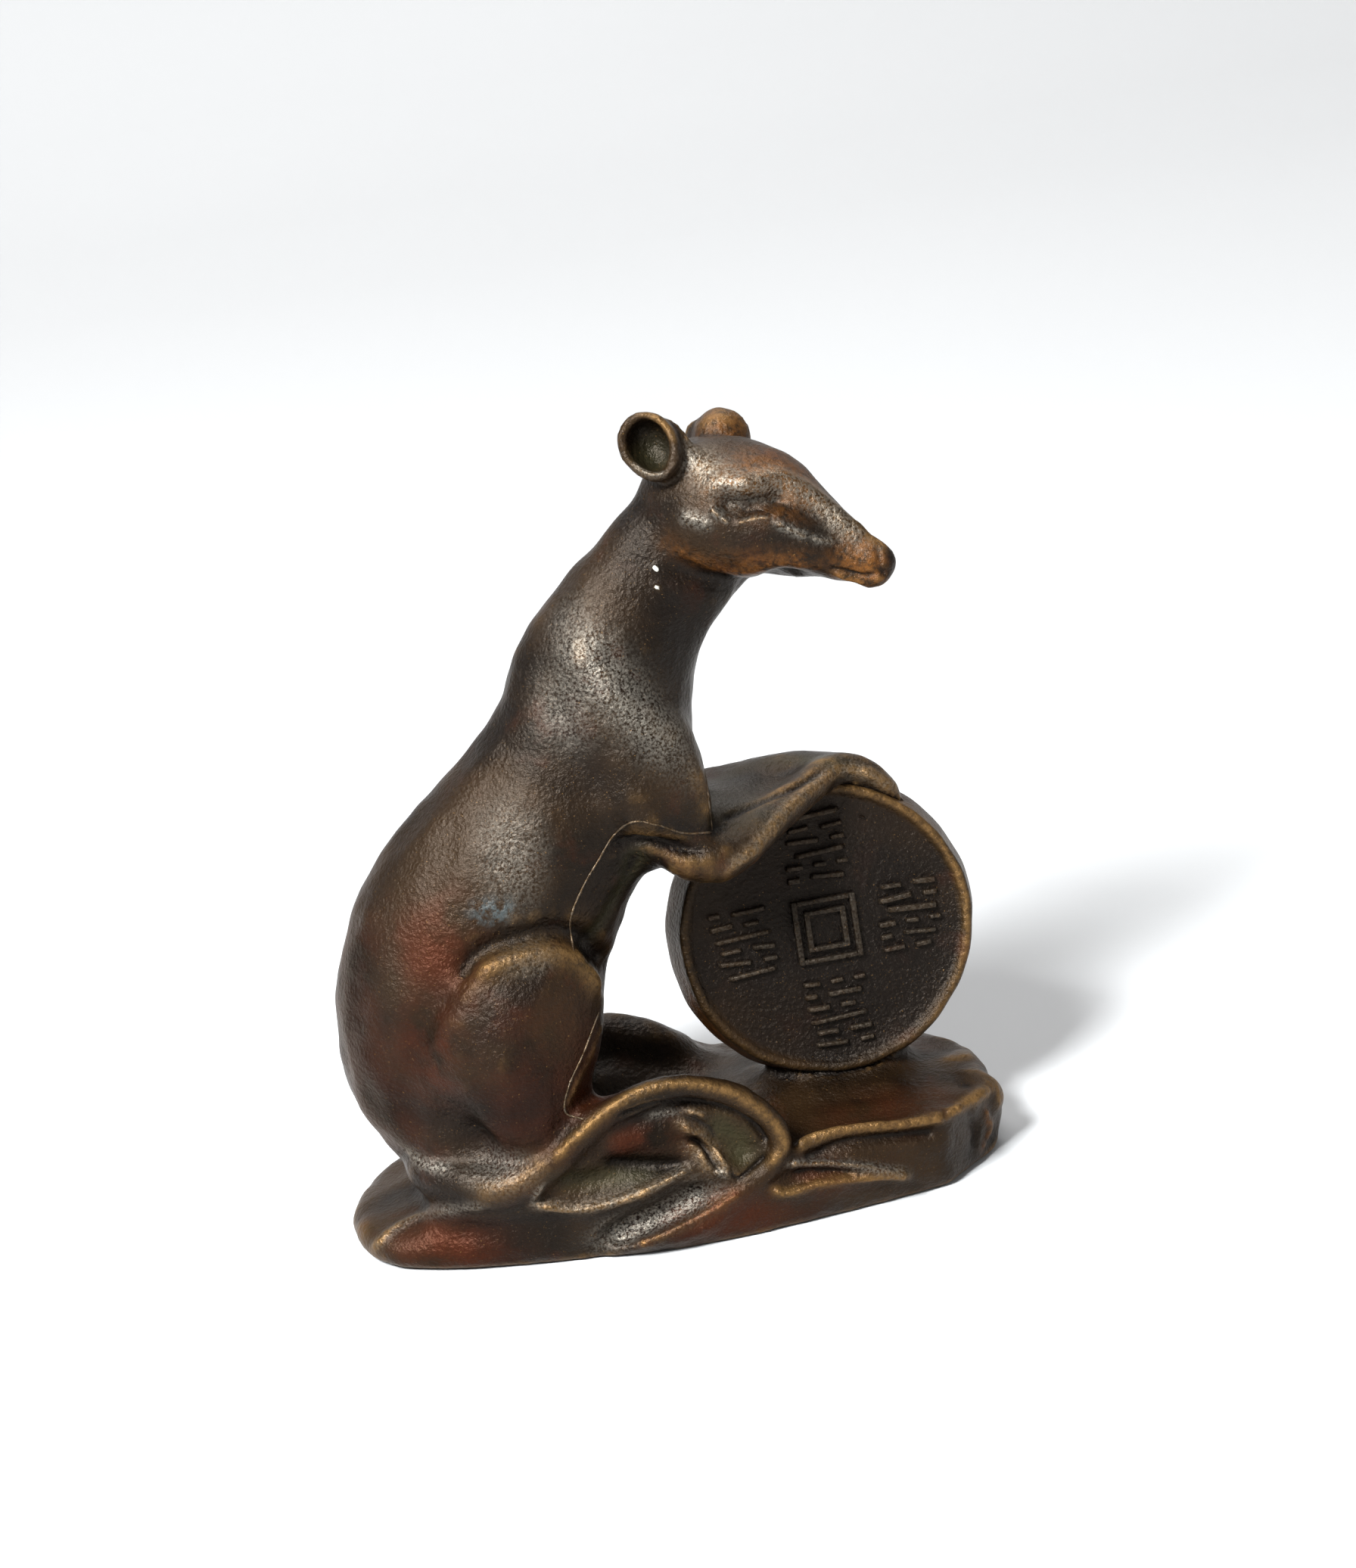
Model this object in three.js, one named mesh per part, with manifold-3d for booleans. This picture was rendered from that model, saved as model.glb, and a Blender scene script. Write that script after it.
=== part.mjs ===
// A small cast bronze rat that sits up on a low folded base and leans its forepaws on a big cash coin.
// Millimetres, +Z up. The origin is on the floor, under the middle of the base. The rat looks along +X,
// with its head turned to the front, which is -Y.
import * as THREE from "three";
import { mergeVertices } from "three/addons/utils/BufferGeometryUtils.js";
import Module from "manifold-3d";

const wasm = await Module();
wasm.setup();

// Base
const baseLength = 54.5;
const baseDepth = 25.5;
const baseThickness = 5.6;
const endFaceAngle = 43; // degrees between the cut end face and the front
const ridgeRadius = 0.75;

// Rat
const ratHeight = 61; // from the top of the base to the tip of the ear
const headTurn = 34; // degrees towards the front
const headPitch = 17; // degrees down
const headRoll = 14; // degrees, the far side lower
const earDiameter = 5.4;
const earWall = 0.7;
const earDepth = 2.1;
const earNarrowing = 0.92; // width of the ear's mouth over its mean diameter
const tailRootDiameter = 3.9;
const tailTipDiameter = 1.7;
const toeDiameter = 1.5;
const eyeDiameter = 1.3;
const browRadius = 0.9;

// Coin
const coinDiameter = 25.2;
const coinThickness = 5;
const coinDraft = 13; // degrees on the side wall, the front being the smaller
const coinLean = 12; // degrees back from upright
const coinSink = 0.9; // how deep its foot stands in the base
const coinRimWidth = 0.8;
const coinFieldDepth = 0.45;
const squareSide = 5.4;
const squareBarWidth = 0.5;
const squareGap = 0.45;
const reliefRise = 0.3;
const strokeWidth = 0.5;
const strokeRows = 3;

// The rat's pose and carving are set out on a squared grid, 61 squares from the base to the ear tip.
const gridSquares = 61;
const square = ratHeight / gridSquares;
const rad = THREE.MathUtils.degToRad;
const vec = (x, y, z) => new THREE.Vector3(x, y, z);

// A place on the rat's grid, counted up from the top of the base.
function onGrid(x, y, z) {
  return vec(x * square, y * square, baseThickness + z * square);
}

// Value at share t of a list of rows, on a smooth curve through every row.
function smoothRow(rows, t) {
  const place = t * (rows.length - 1);
  const i = Math.min(Math.floor(place), rows.length - 2);
  const f = place - i;
  const [a, b, c, d] = [i - 1, i, i + 1, i + 2].map((k) => rows[THREE.MathUtils.clamp(k, 0, rows.length - 1)]);
  return b.map((_, k) => {
    const bend = 2 * b[k] + (c[k] - a[k]) * f;
    const curve = (2 * a[k] - 5 * b[k] + 4 * c[k] - d[k]) * f * f;
    const cube = (3 * b[k] - a[k] - 3 * c[k] + d[k]) * f * f * f;
    return 0.5 * (bend + curve + cube);
  });
}

// A closed solid over rings of points that run round the way of travel, with both ends capped.
function skin(rings) {
  const count = rings[0].length;
  const last = rings.length - 1;
  const points = rings.flat();
  const faces = [];
  for (let i = 0; i < last; i++) {
    for (let j = 0; j < count; j++) {
      const a = i * count + j;
      const b = i * count + ((j + 1) % count);
      faces.push(a, b, b + count, a, b + count, a + count);
    }
  }
  const middle = (ring) => ring.reduce((sum, p) => sum.add(p), vec(0, 0, 0)).divideScalar(count);
  points.push(middle(rings[0]), middle(rings[last]));
  for (let j = 0; j < count; j++) {
    const next = (j + 1) % count;
    faces.push(points.length - 2, next, j);
    faces.push(points.length - 1, last * count + j, last * count + next);
  }
  const geometry = new THREE.BufferGeometry().setFromPoints(points);
  geometry.setIndex(faces);
  return solid(geometry);
}

// An ellipse of points round a centre; up crossed with side gives the way of travel.
function ring(centre, up, side, sides) {
  return Array.from({ length: sides }, (_, j) => {
    const turn = (j / sides) * 2 * Math.PI;
    return centre.clone().addScaledVector(up, Math.cos(turn)).addScaledVector(side, Math.sin(turn));
  });
}

// A limb along rows of [x, y, z, half height, half width] in millimetres, with rounded ends.
function limb(rows, sides, steps, level = vec(0, 1, 0)) {
  const at = (t) => smoothRow(rows, t);
  const spot = (t) => vec(...at(t).slice(0, 3));
  const along = (t) => spot(Math.min(t + 0.01, 1)).sub(spot(Math.max(t - 0.01, 0))).normalize();
  const rings = [];
  const roundSteps = 2;
  const addRing = (t, push, share) => {
    const way = along(t);
    const row = at(t);
    const up = way.clone().cross(level).negate().normalize();
    const side = way.clone().cross(up).normalize();
    const centre = spot(t).addScaledVector(way, push * Math.min(row[3], row[4]));
    rings.push(ring(centre, up.multiplyScalar(row[3] * share), side.multiplyScalar(row[4] * share), sides));
  };
  for (let k = roundSteps; k > 0; k--) {
    const turn = (k / (roundSteps + 0.5)) * (Math.PI / 2);
    addRing(0, -Math.sin(turn), Math.cos(turn));
  }
  for (let i = 0; i <= steps; i++) addRing(i / steps, 0, 1);
  for (let k = 1; k <= roundSteps; k++) {
    const turn = (k / (roundSteps + 0.5)) * (Math.PI / 2);
    addRing(1, Math.sin(turn), Math.cos(turn));
  }
  return skin(rings);
}

// A form drawn in side view: each row gives one edge and the other edge of a slice as [x, z, x, z],
// then its half width and how far its middle stands off the middle plane, all on the rat's grid.
function sideForm(rows, sides, steps, mirror = 1) {
  const rings = [];
  for (let i = 0; i <= steps; i++) {
    const [backX, backZ, frontX, frontZ, half, off = 0] = smoothRow(rows, i / steps);
    const back = onGrid(backX, off * mirror, backZ);
    const front = onGrid(frontX, off * mirror, frontZ);
    const centre = back.clone().lerp(front, 0.5);
    rings.push(ring(centre, front.sub(back).multiplyScalar(0.5), vec(0, half * square, 0), sides));
  }
  return skin(rings);
}

// Rows of a limb given on the rat's grid.
function gridRows(rows) {
  return rows.map(([x, y, z, high, wide]) => [...onGrid(x, y, z).toArray(), high * square, wide * square]);
}

// A three.js geometry as a solid that can be joined and cut.
function solid(geometry) {
  geometry.deleteAttribute("normal");
  geometry.deleteAttribute("uv");
  const merged = mergeVertices(geometry, 1e-4);
  const mesh = new wasm.Mesh({
    numProp: 3,
    vertProperties: new Float32Array(merged.attributes.position.array),
    triVerts: new Uint32Array(merged.index.array),
  });
  return new wasm.Manifold(mesh);
}

const join = (parts) => parts.reduce((whole, part) => whole.add(part));

// The outer shell alone, so that no pocket stays sealed between the joined forms.
function solidShell(joined) {
  return joined.decompose().reduce((a, b) => (a.volume() > b.volume() ? a : b));
}

// Base: a low slab with a flat underside, a bowed front and a top that rises to the coin.
const halfLength = baseLength / 2;
const halfDepth = baseDepth / 2;

// Height of the slab's edge and of its middle at share u of its length, from -1 to 1.
function edgeHeight(u) {
  return baseThickness * smoothRow([[0.5], [0.64], [0.9], [1.08], [1.14], [1.15], [1.18]], (u + 1) / 2)[0];
}

function crestHeight(u) {
  return baseThickness * smoothRow([[0.7], [0.98], [1.08], [1.18], [1.28], [1.3], [1.24]], (u + 1) / 2)[0];
}

// Outline of the slab in plan, in shares of half its length and depth: bowed out at the front.
const planPoints = [
  [-1, -0.2],
  [-0.93, -0.53],
  [-0.74, -0.74],
  [-0.4, -0.9],
  [0, -1.03],
  [0.38, -0.97],
  [0.76, -0.85],
  [0.96, -0.74],
  [0.99, -0.3],
  [0.97, 0.24],
  [0.82, 0.66],
  [0.45, 0.92],
  [0, 1],
  [-0.5, 0.92],
  [-0.86, 0.62],
  [-0.99, 0.18],
];

function outline(around) {
  const corners = planPoints.map(([u, v]) => vec(u * halfLength, v * halfDepth, 0));
  return new THREE.CatmullRomCurve3(corners, true, "centripetal").getSpacedPoints(around).slice(0, around);
}

// The front edge of the slab at a place along its length.
function frontOf(x) {
  const front = outline(120).filter((p) => p.y < 0);
  const next = front.findIndex((p) => p.x > x);
  const [a, b] = [front[Math.max(next - 1, 0)], front[Math.max(next, 1)]];
  return THREE.MathUtils.mapLinear(x, a.x, b.x, a.y, b.y);
}

function slab() {
  const plan = outline(46);
  const edge = (share, height) =>
    plan.map((p) => vec(p.x * share, p.y * share, height((p.x / halfLength) * share, share)));
  const top = (u, share) => edgeHeight(u) + (crestHeight(u) - edgeHeight(u)) * (1 - share * share);
  const rings = [
    edge(0.975, () => 0),
    edge(1, (u) => edgeHeight(u) * 0.22),
    edge(1, (u) => edgeHeight(u) * 0.6),
    edge(0.985, (u) => edgeHeight(u) * 0.86),
    edge(0.95, (u) => edgeHeight(u)),
    edge(0.75, top),
    edge(0.5, top),
    edge(0.25, top),
  ];
  return skin(rings);
}

// The cut end: everything past an upright plane across the near right corner comes off.
function endCut() {
  const reach = baseDepth * 2;
  const block = new THREE.BoxGeometry(reach, reach, baseThickness * 4);
  block.rotateZ(-rad(90 - endFaceAngle));
  const face = vec(Math.cos(rad(endFaceAngle - 90)), Math.sin(rad(endFaceAngle - 90)), 0);
  const corner = vec(halfLength * 0.89, -halfDepth * 0.6, 0);
  const centre = corner.addScaledVector(face, reach / 2);
  block.translate(centre.x, centre.y, 0);
  return solid(block);
}

// Folds on the front of the base: ridges, in shares of the length and of the edge height.
function fold(points, fat = 1) {
  const rows = points.map(([u, height, out], i) => {
    const share = points.length > 1 ? i / (points.length - 1) : 0;
    const radius = ridgeRadius * fat * (0.35 + 0.65 * Math.sin(Math.PI * (0.12 + 0.76 * share)));
    return [u * halfLength, frontOf(u * halfLength) - out, height * edgeHeight(u), radius, radius];
  });
  return limb(rows, 6, 7, vec(0, 0, 1));
}

const folds = [
  fold([[0.29, 0.98, -0.8], [0.42, 1.03, -0.8], [0.62, 0.99, -0.8], [0.84, 1.02, -0.6]]),
  fold([[0.27, 0.87, -0.2], [0.4, 0.7, -0.1], [0.55, 0.49, -0.1], [0.7, 0.22, -0.1]], 0.9),
  fold([[0.22, 0.54, 0], [0.3, 0.48, 0], [0.44, 0.48, -0.1], [0.58, 0.43, -0.2]], 0.9),
  fold([[-0.5, 0.96, -0.7], [-0.34, 0.93, -0.3], [-0.16, 0.98, -0.3], [0.01, 1.06, -0.7]]),
  fold([[-0.28, 0.2, 0], [-0.12, 0.25, 0.1], [0.02, 0.37, 0], [0.14, 0.7, -0.2]], 1.1),
];

// A long hollow on the slant between the two folds in front of the foot.
function hollow() {
  const rows = [
    [-0.26, 0.36, 0.6],
    [-0.16, 0.5, 1.3],
    [-0.05, 0.68, 1.5],
    [0.06, 0.9, 1],
  ].map(([u, height, radius]) => {
    const x = u * halfLength;
    return [x, frontOf(x) - radius * 0.55, height * edgeHeight(u), radius, radius];
  });
  return limb(rows, 8, 6, vec(0, 0, 1));
}

const base = join([slab().subtract(endCut()).subtract(hollow()), ...folds]);

// Torso: from the rump, up the bent back, to the neck inside the head.
const torso = sideForm(
  [
    [-20.9, -1.6, -9.5, -2.2, 7.2],
    [-23.2, 2.6, -7.4, 1.2, 8.4],
    [-25.4, 6.8, -5.9, 5.2, 9.1],
    [-26, 11.4, -4.6, 9.6, 9.4],
    [-25.2, 17.6, -3, 15.6, 9.2],
    [-22.7, 23.8, -0.2, 21.2, 8.6],
    [-18.2, 29.2, 3.2, 25.4, 7.8],
    [-12.6, 34, 5.6, 29.6, 7],
    [-9, 38, 6.2, 34, 6.4],
    [-7.1, 42.4, 6.9, 38.4, 5.7],
    [-4.3, 45.6, 8.8, 42, 4.9],
    [-0.1, 49.4, 11.4, 44.2, 4.4],
    [4.2, 53.2, 14.2, 46.6, 4],
  ],
  18,
  24,
);

// Head: its own three directions, and rows of [way forward, top, bottom, half width].
const headCentre = onGrid(9.6, -0.2, 51.3);
const forward = vec(
  Math.cos(rad(headTurn)) * Math.cos(rad(headPitch)),
  -Math.sin(rad(headTurn)) * Math.cos(rad(headPitch)),
  -Math.sin(rad(headPitch)),
);
const level = vec(Math.sin(rad(headTurn)), Math.cos(rad(headTurn)), 0);
const leftward = level.clone().applyAxisAngle(forward, -rad(headRoll));
const upward = forward.clone().cross(leftward);

const headRows = [
  [-5.4, 1.5, -1.8, 2.2],
  [-4.4, 3.8, -3.6, 4],
  [-2, 5.2, -5, 5.3],
  [1, 5.9, -5.5, 5.9],
  [4, 6, -4.9, 5.7],
  [7, 4.9, -3.9, 4.7],
  [10, 3.1, -3, 3.3],
  [12.8, 1.9, -2.4, 2.2],
  [14.8, 1.2, -1.9, 1.6],
  [15.7, 0.3, -1.3, 0.8],
];

// A place in the head's own directions, on the rat's grid.
function inHead(ahead, side, up) {
  return headCentre
    .clone()
    .addScaledVector(forward, ahead * square)
    .addScaledVector(leftward, side * square)
    .addScaledVector(upward, up * square);
}

function head() {
  const steps = 16;
  const rings = [];
  for (let i = 0; i <= steps; i++) {
    const [ahead, top, bottom, half] = smoothRow(headRows, i / steps);
    const side = leftward.clone().multiplyScalar(half * square);
    const up = upward.clone().multiplyScalar(((top - bottom) / 2) * square);
    rings.push(ring(inHead(ahead, 0, (top + bottom) / 2), side, up, 16));
  }
  return skin(rings);
}

// Brow ridge and eye on one side of the face.
function face(mirror) {
  const ridge = [
    [0.4, 5.2, 1.7],
    [3.4, 4.9, 2.6],
    [6.8, 3.5, 2.7],
    [11, 1.5, 1.6],
  ].map(([ahead, side, up], i) => {
    const radius = browRadius * [0.7, 1, 0.9, 0.5][i];
    return [...inHead(ahead, side * mirror, up).toArray(), radius, radius];
  });
  const eye = new THREE.SphereGeometry(eyeDiameter / 2, 6, 5);
  eye.translate(...inHead(2.6, 5.6 * mirror, 0.4).toArray());
  return join([limb(ridge, 6, 5, vec(0, 0, 1)), solid(eye)]);
}

// Ear: a cup with a rounded lip, set on the head with its mouth turned out.
function ear(mirror) {
  const r = earDiameter / 2;
  const profile = [
    [0, -earDepth],
    [r * 0.6, -earDepth * 0.82],
    [r * 0.92, -earDepth * 0.35],
    [r, 0],
    [r - earWall * 0.4, earWall * 0.35],
    [r - earWall, 0],
    [r - earWall * 1.3, -earDepth * 0.25],
    [(r - earWall) * 0.5, -earDepth + earWall * 1.35],
    [0, -earDepth + earWall],
  ].map(([x, y]) => new THREE.Vector2(x, y));
  const cup = new THREE.LatheGeometry(profile, 16);
  const mouth = leftward.clone().multiplyScalar(mirror);
  mouth.addScaledVector(forward, 0.12).addScaledVector(upward, 0.1).normalize();
  const across = forward.clone().cross(mouth).normalize();
  const upright = across.clone().cross(mouth);
  const turned = new THREE.Matrix4();
  turned.makeBasis(across.multiplyScalar(earNarrowing), mouth, upright.multiplyScalar(1 / earNarrowing));
  turned.setPosition(inHead(mirror > 0 ? -2.7 : -3.7, mirror * 4.9, 4.3));
  cup.applyMatrix4(turned);
  return solid(cup);
}

// How far each foot's middle stands from the middle plane.
const footOff = (side) => (side > 0 ? 8.8 : 10);

// Hind leg on one side: haunch, shank, foot and toes. The near one has side -1.
function hindLeg(side) {
  const kneeShift = side > 0 ? 1.7 : 0;
  const footShift = side > 0 ? 2.5 : 0;
  const shiftKnee = ([back, backZ, front, ...rest]) => [back + kneeShift, backZ, front + kneeShift, ...rest];
  const shiftFoot = ([x, y, ...rest]) => [x + footShift, y * -side, ...rest];
  const haunch = sideForm(
    [
      [-12.6, 0.6, -9, 0.6, 2, 7],
      [-14.8, 3.4, -8.6, 3.4, 4, 7.2],
      [-18.4, 8.2, -6.6, 7.4, 5.5, 7],
      [-20, 14.4, -5, 11.8, 5.5, 6.8],
      [-18.2, 19, -4.5, 15.8, 4.6, 6.9],
      [-14.2, 21.4, -5.6, 19, 3, 7],
      [-11, 21.9, -8.2, 21, 1.2, 7],
    ].map(shiftKnee),
    14,
    10,
    side,
  );
  const foot = limb(
    gridRows(
      [
        [-10.6, -8.2, 3.2, 2.4, 2.2],
        [-6.6, -9, 3.8, 2.8, 2.3],
        [-2.6, 0.3 - footOff(side), 3, 2.5, 2.4],
        [0, 0.1 - footOff(side), 1.8, 1.7, 2.3],
      ].map(shiftFoot),
    ),
    10,
    6,
  );
  const toeRadius = toeDiameter / 2;
  const toes = [-1.5, -0.5, 0.5, 1.5].map((k) => {
    const spread = k * toeDiameter * 0.92;
    const start = onGrid(-0.6 + footShift, (footOff(side) - 0.2) * side, 1.9);
    const end = onGrid(3.2 + footShift, (footOff(side) + 0.2) * side, 0.2);
    return limb(
      [
        [start.x, start.y + spread, start.z, toeRadius, toeRadius],
        [(start.x + end.x) / 2, start.y + spread * 1.05, (start.z + end.z) / 2 + 0.3, toeRadius, toeRadius],
        [end.x, end.y + spread * 1.1, end.z, toeRadius * 0.7, toeRadius * 0.7],
      ],
      6,
      2,
    );
  });
  return join([haunch, foot, ...toes, legGround(side)]);
}

// Coin: stands on the base and leans back. Its own directions are right, in (through the coin) and up.
const coinRadius = coinDiameter / 2;
const coinX = 14.7 * square;
const coinFootY = -1.1;
const lean = rad(coinLean);
const coinUp = vec(0, Math.sin(lean), Math.cos(lean));
const coinIn = vec(0, Math.cos(lean), -Math.sin(lean));
const coinFootHeight = crestHeight(coinX / halfLength) - coinSink;
const coinCentre = vec(coinX, coinFootY, coinFootHeight).addScaledVector(coinUp, coinRadius);

function onCoin(x, depth, up) {
  return coinCentre
    .clone()
    .addScaledVector(vec(1, 0, 0), x)
    .addScaledVector(coinIn, depth)
    .addScaledVector(coinUp, up);
}

// Turns a geometry drawn with +Y as the coin's front into the coin's place.
function placeOnCoin(geometry, x, up) {
  const front = coinIn.clone().negate();
  const matrix = new THREE.Matrix4().makeBasis(vec(1, 0, 0), front, vec(1, 0, 0).cross(front));
  matrix.setPosition(onCoin(x, 0, up));
  geometry.applyMatrix4(matrix);
  return solid(geometry);
}

const frontRadius = coinRadius - coinThickness * Math.tan(rad(coinDraft)) * 0.75;
const fieldRadius = frontRadius - coinRimWidth;
const faceLevel = coinThickness / 2;
const fieldLevel = faceLevel - coinFieldDepth;

function coinBody() {
  const profile = [
    [0, -faceLevel],
    [frontRadius, -faceLevel],
    [coinRadius, -faceLevel * 0.45],
    [coinRadius - 0.15, 0],
    [frontRadius + 0.12, faceLevel - 0.12],
    [frontRadius - 0.12, faceLevel],
    [fieldRadius + 0.1, faceLevel],
    [fieldRadius - 0.15, fieldLevel],
    [0, fieldLevel],
  ].map(([x, y]) => new THREE.Vector2(x, y));
  return placeOnCoin(new THREE.LatheGeometry(profile, 38), 0, 0);
}

// A raised bar on the coin's field.
function bar(x, up, wide, high) {
  const sunk = 0.4;
  const box = new THREE.BoxGeometry(wide, reliefRise + sunk, high);
  box.translate(0, fieldLevel + (reliefRise - sunk) / 2, 0);
  return placeOnCoin(box, x, up);
}

function squareFrame(side) {
  const reach = (side - squareBarWidth) / 2;
  return [
    bar(0, reach, side, squareBarWidth),
    bar(0, -reach, side, squareBarWidth),
    bar(reach, 0, squareBarWidth, side),
    bar(-reach, 0, squareBarWidth, side),
  ];
}

// Rows of short plain strokes on each side of the square, where a real coin has its inscription.
function strokeGroup(x, up, wide, high) {
  const pitch = (high - strokeWidth) / (strokeRows - 1);
  const bars = [];
  for (let row = 0; row < strokeRows; row++) {
    const level = up + high / 2 - strokeWidth / 2 - row * pitch;
    const long = wide * (row % 2 ? 0.56 : 0.92);
    const shift = row % 2 ? wide * 0.16 : 0;
    bars.push(bar(x - shift, level, long, strokeWidth));
    if (row % 2) bars.push(bar(x + wide * 0.36, level, wide * 0.2, strokeWidth));
  }
  return bars;
}

function coin() {
  const groupAt = (squareSide / 2 + fieldRadius) / 2 + 0.1;
  const groupSide = (fieldRadius - squareSide / 2) * 0.64;
  return join([
    coinBody(),
    ...squareFrame(squareSide),
    ...squareFrame(squareSide - 2 * (squareBarWidth + squareGap)),
    ...strokeGroup(0, groupAt, groupSide, groupSide),
    ...strokeGroup(0, -groupAt, groupSide, groupSide),
    ...strokeGroup(groupAt, 0, groupSide, groupSide),
    ...strokeGroup(-groupAt, 0, groupSide, groupSide),
  ]);
}

// A place on the coin's edge at an angle from its top, standing off the edge by rise.
function onEdge(angle, depth, rise) {
  const reach = coinRadius + rise;
  return onCoin(Math.sin(rad(angle)) * reach, depth, Math.cos(rad(angle)) * reach);
}

// Upper arm and shoulder: a broad mass on the side of the chest that ends in a sharp lower corner.
function upperArm(side) {
  return sideForm(
    [
      [0.4, 24.8, 4.8, 25.4, 1.8, 5.4],
      [-1, 27, 6.1, 27.4, 2.9, 5.5],
      [-4.6, 31, 6.3, 29.8, 3.9, 4.7],
      [-7, 35, 6.1, 33, 4, 3.9],
      [-6.8, 39, 4.6, 37.6, 3.3, 3.4],
      [-4.4, 42, 1.5, 41.4, 1.6, 3],
    ],
    12,
    8,
    side,
  );
}

// Arms: the upper arm hangs from the shoulder to the elbow, the forearm runs on to the coin's edge.
function nearArm() {
  const upper = upperArm(-1);
  const elbow = onGrid(5.4, -6.6, 23.8);
  const wrist = onEdge(12, -1.4, 0.7);
  const tip = onEdge(34, -1.3, -0.3);
  const forearm = limb(
    [
      [...onGrid(3.4, -6.6, 25).toArray(), 2.4, 2.2],
      [elbow.x + 1, elbow.y, elbow.z, 1.9, 2],
      [...elbow.clone().lerp(wrist, 0.5).add(vec(0, -0.9, 0.4)).toArray(), 1.7, 1.8],
      [wrist.x, wrist.y, wrist.z, 1.6, 1.8],
      [...onEdge(25, -1.3, 0.5).toArray(), 1.6, 1.9],
      [tip.x, tip.y, tip.z, 1.1, 1.6],
    ],
    10,
    11,
  );
  return join([upper, forearm]);
}

function farArm() {
  const upper = upperArm(1);
  const forearm = limb(
    [
      [...onGrid(4.6, 6.2, 24.6).toArray(), 2.2, 2.6],
      [...onEdge(-14, 1.6, 0.6).toArray(), 1.9, 3],
      [...onEdge(4, 1.2, 0.4).toArray(), 1.8, 3],
      [...onEdge(20, 0.8, 0.3).toArray(), 1.5, 2.6],
      [...onEdge(31, 0.6, -0.3).toArray(), 1.2, 2],
    ],
    10,
    8,
  );
  return join([upper, forearm]);
}

// The web of metal that closes the space between both arms, the chest and the coin.
function armWeb() {
  return limb(
    [
      ...gridRows([
        [-1, 0, 26.1, 3.2, 6.6],
        [3.4, 0, 25.4, 2.9, 6.8],
        [7.4, 0.5, 25, 2.3, 6],
      ]),
      [...onEdge(-14, 0.1, -0.5).toArray(), 1.8, 4.4],
      [...onEdge(6, -0.1, -0.4).toArray(), 1.8, 2.6],
      [...onEdge(24, -0.2, -0.6).toArray(), 1.7, 1.9],
    ],
    8,
    8,
  );
}

// The ground that rises under each hind leg, from the rump to the toes.
function legGround(side) {
  return limb(
    gridRows([
      [-18.6, 5.4 * side, -0.6, 2.2, 4.2],
      [-12.6, 7.6 * side, -0.2, 2.6, 4.4],
      [-6, 7.8 * side, 0.8, 3, 4.4],
      [-0.6, (footOff(side) - 0.8) * side, 0.4, 2.4, 4],
      [5.2, (footOff(side) - 0.6) * side, -0.4, 2, 3.8],
    ]),
    8,
    7,
  );
}

// Tail: from the rump round under the haunch, over the foot in an arch and down into the base.
const tailPlaces = [
  [-18.6, 0, 3.2],
  [-20, -5.6, 1.9],
  [-15.4, -10.2, 1.7],
  [-11, -11.4, 3.4],
  [-7, -11.8, 6.6],
  [-3, -11.9, 8],
  [0.4, -11.9, 8.2],
  [4.4, -11.9, 6.4],
  [7, -12, 3.2],
  [6.4, -12.3, 0.4],
  [3.4, -12.6, -2],
];

function tail() {
  const rows = tailPlaces.map(([x, y, z], i) => {
    const share = i / (tailPlaces.length - 1);
    const radius = THREE.MathUtils.lerp(tailRootDiameter, tailTipDiameter, Math.min(1, share * 1.6)) / 2;
    const press = 1 + 0.35 * Math.max(0, 1 - share * 3);
    return [...onGrid(x, y, z).toArray(), radius * press, radius];
  });
  return limb(rows, 8, 25);
}

// The metal that fills the corner between the tail, the leg and the base, and the wall behind the arch.
function tailBed() {
  const corner = [
    [-20, -4.1, 0.7, 2, 2],
    [-15.4, -8.4, 1.4, 3, 2.6],
    [-11, -9.6, 2, 3, 2.4],
    [-7, -10, 3.4, 3.2, 2.2],
  ];
  const wall = [
    [-7.4, -10, 4.6, 2.8, 2.2],
    [-2.4, -10, 5.4, 2.9, 2.2],
    [1.2, -10, 5.3, 2.8, 2],
    [4.6, -10.2, 3.4, 2.8, 2],
    [5.8, -10.6, 0.8, 2.2, 1.6],
  ];
  return join([limb(gridRows(corner), 8, 6), limb(gridRows(wall), 8, 6)]);
}

const pairs = [-1, 1].flatMap((side) => [face(side), ear(side), hindLeg(side)]);
const rat = join([torso, head(), ...pairs, nearArm(), farArm(), armWeb(), tail(), tailBed()]);
const casting = solidShell(join([base, coin(), rat]));

const bronze = new THREE.MeshStandardMaterial({ color: 0x3a241a, roughness: 0.42, metalness: 0.85 });

// The joined solid back as a named mesh.
function named(name, made, material) {
  const mesh = made.getMesh();
  const geometry = new THREE.BufferGeometry();
  geometry.setAttribute("position", new THREE.BufferAttribute(mesh.vertProperties, 3));
  geometry.setIndex(new THREE.BufferAttribute(mesh.triVerts, 1));
  geometry.computeVertexNormals();
  const piece = new THREE.Mesh(geometry, material);
  piece.name = name;
  return piece;
}

const figurine = new THREE.Group();
figurine.add(named("rat_casting", casting, bronze));
export default figurine;
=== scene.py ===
import math

import bpy
import numpy as np
from mathutils import Matrix, Vector
from mathutils.bvhtree import BVHTree


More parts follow.
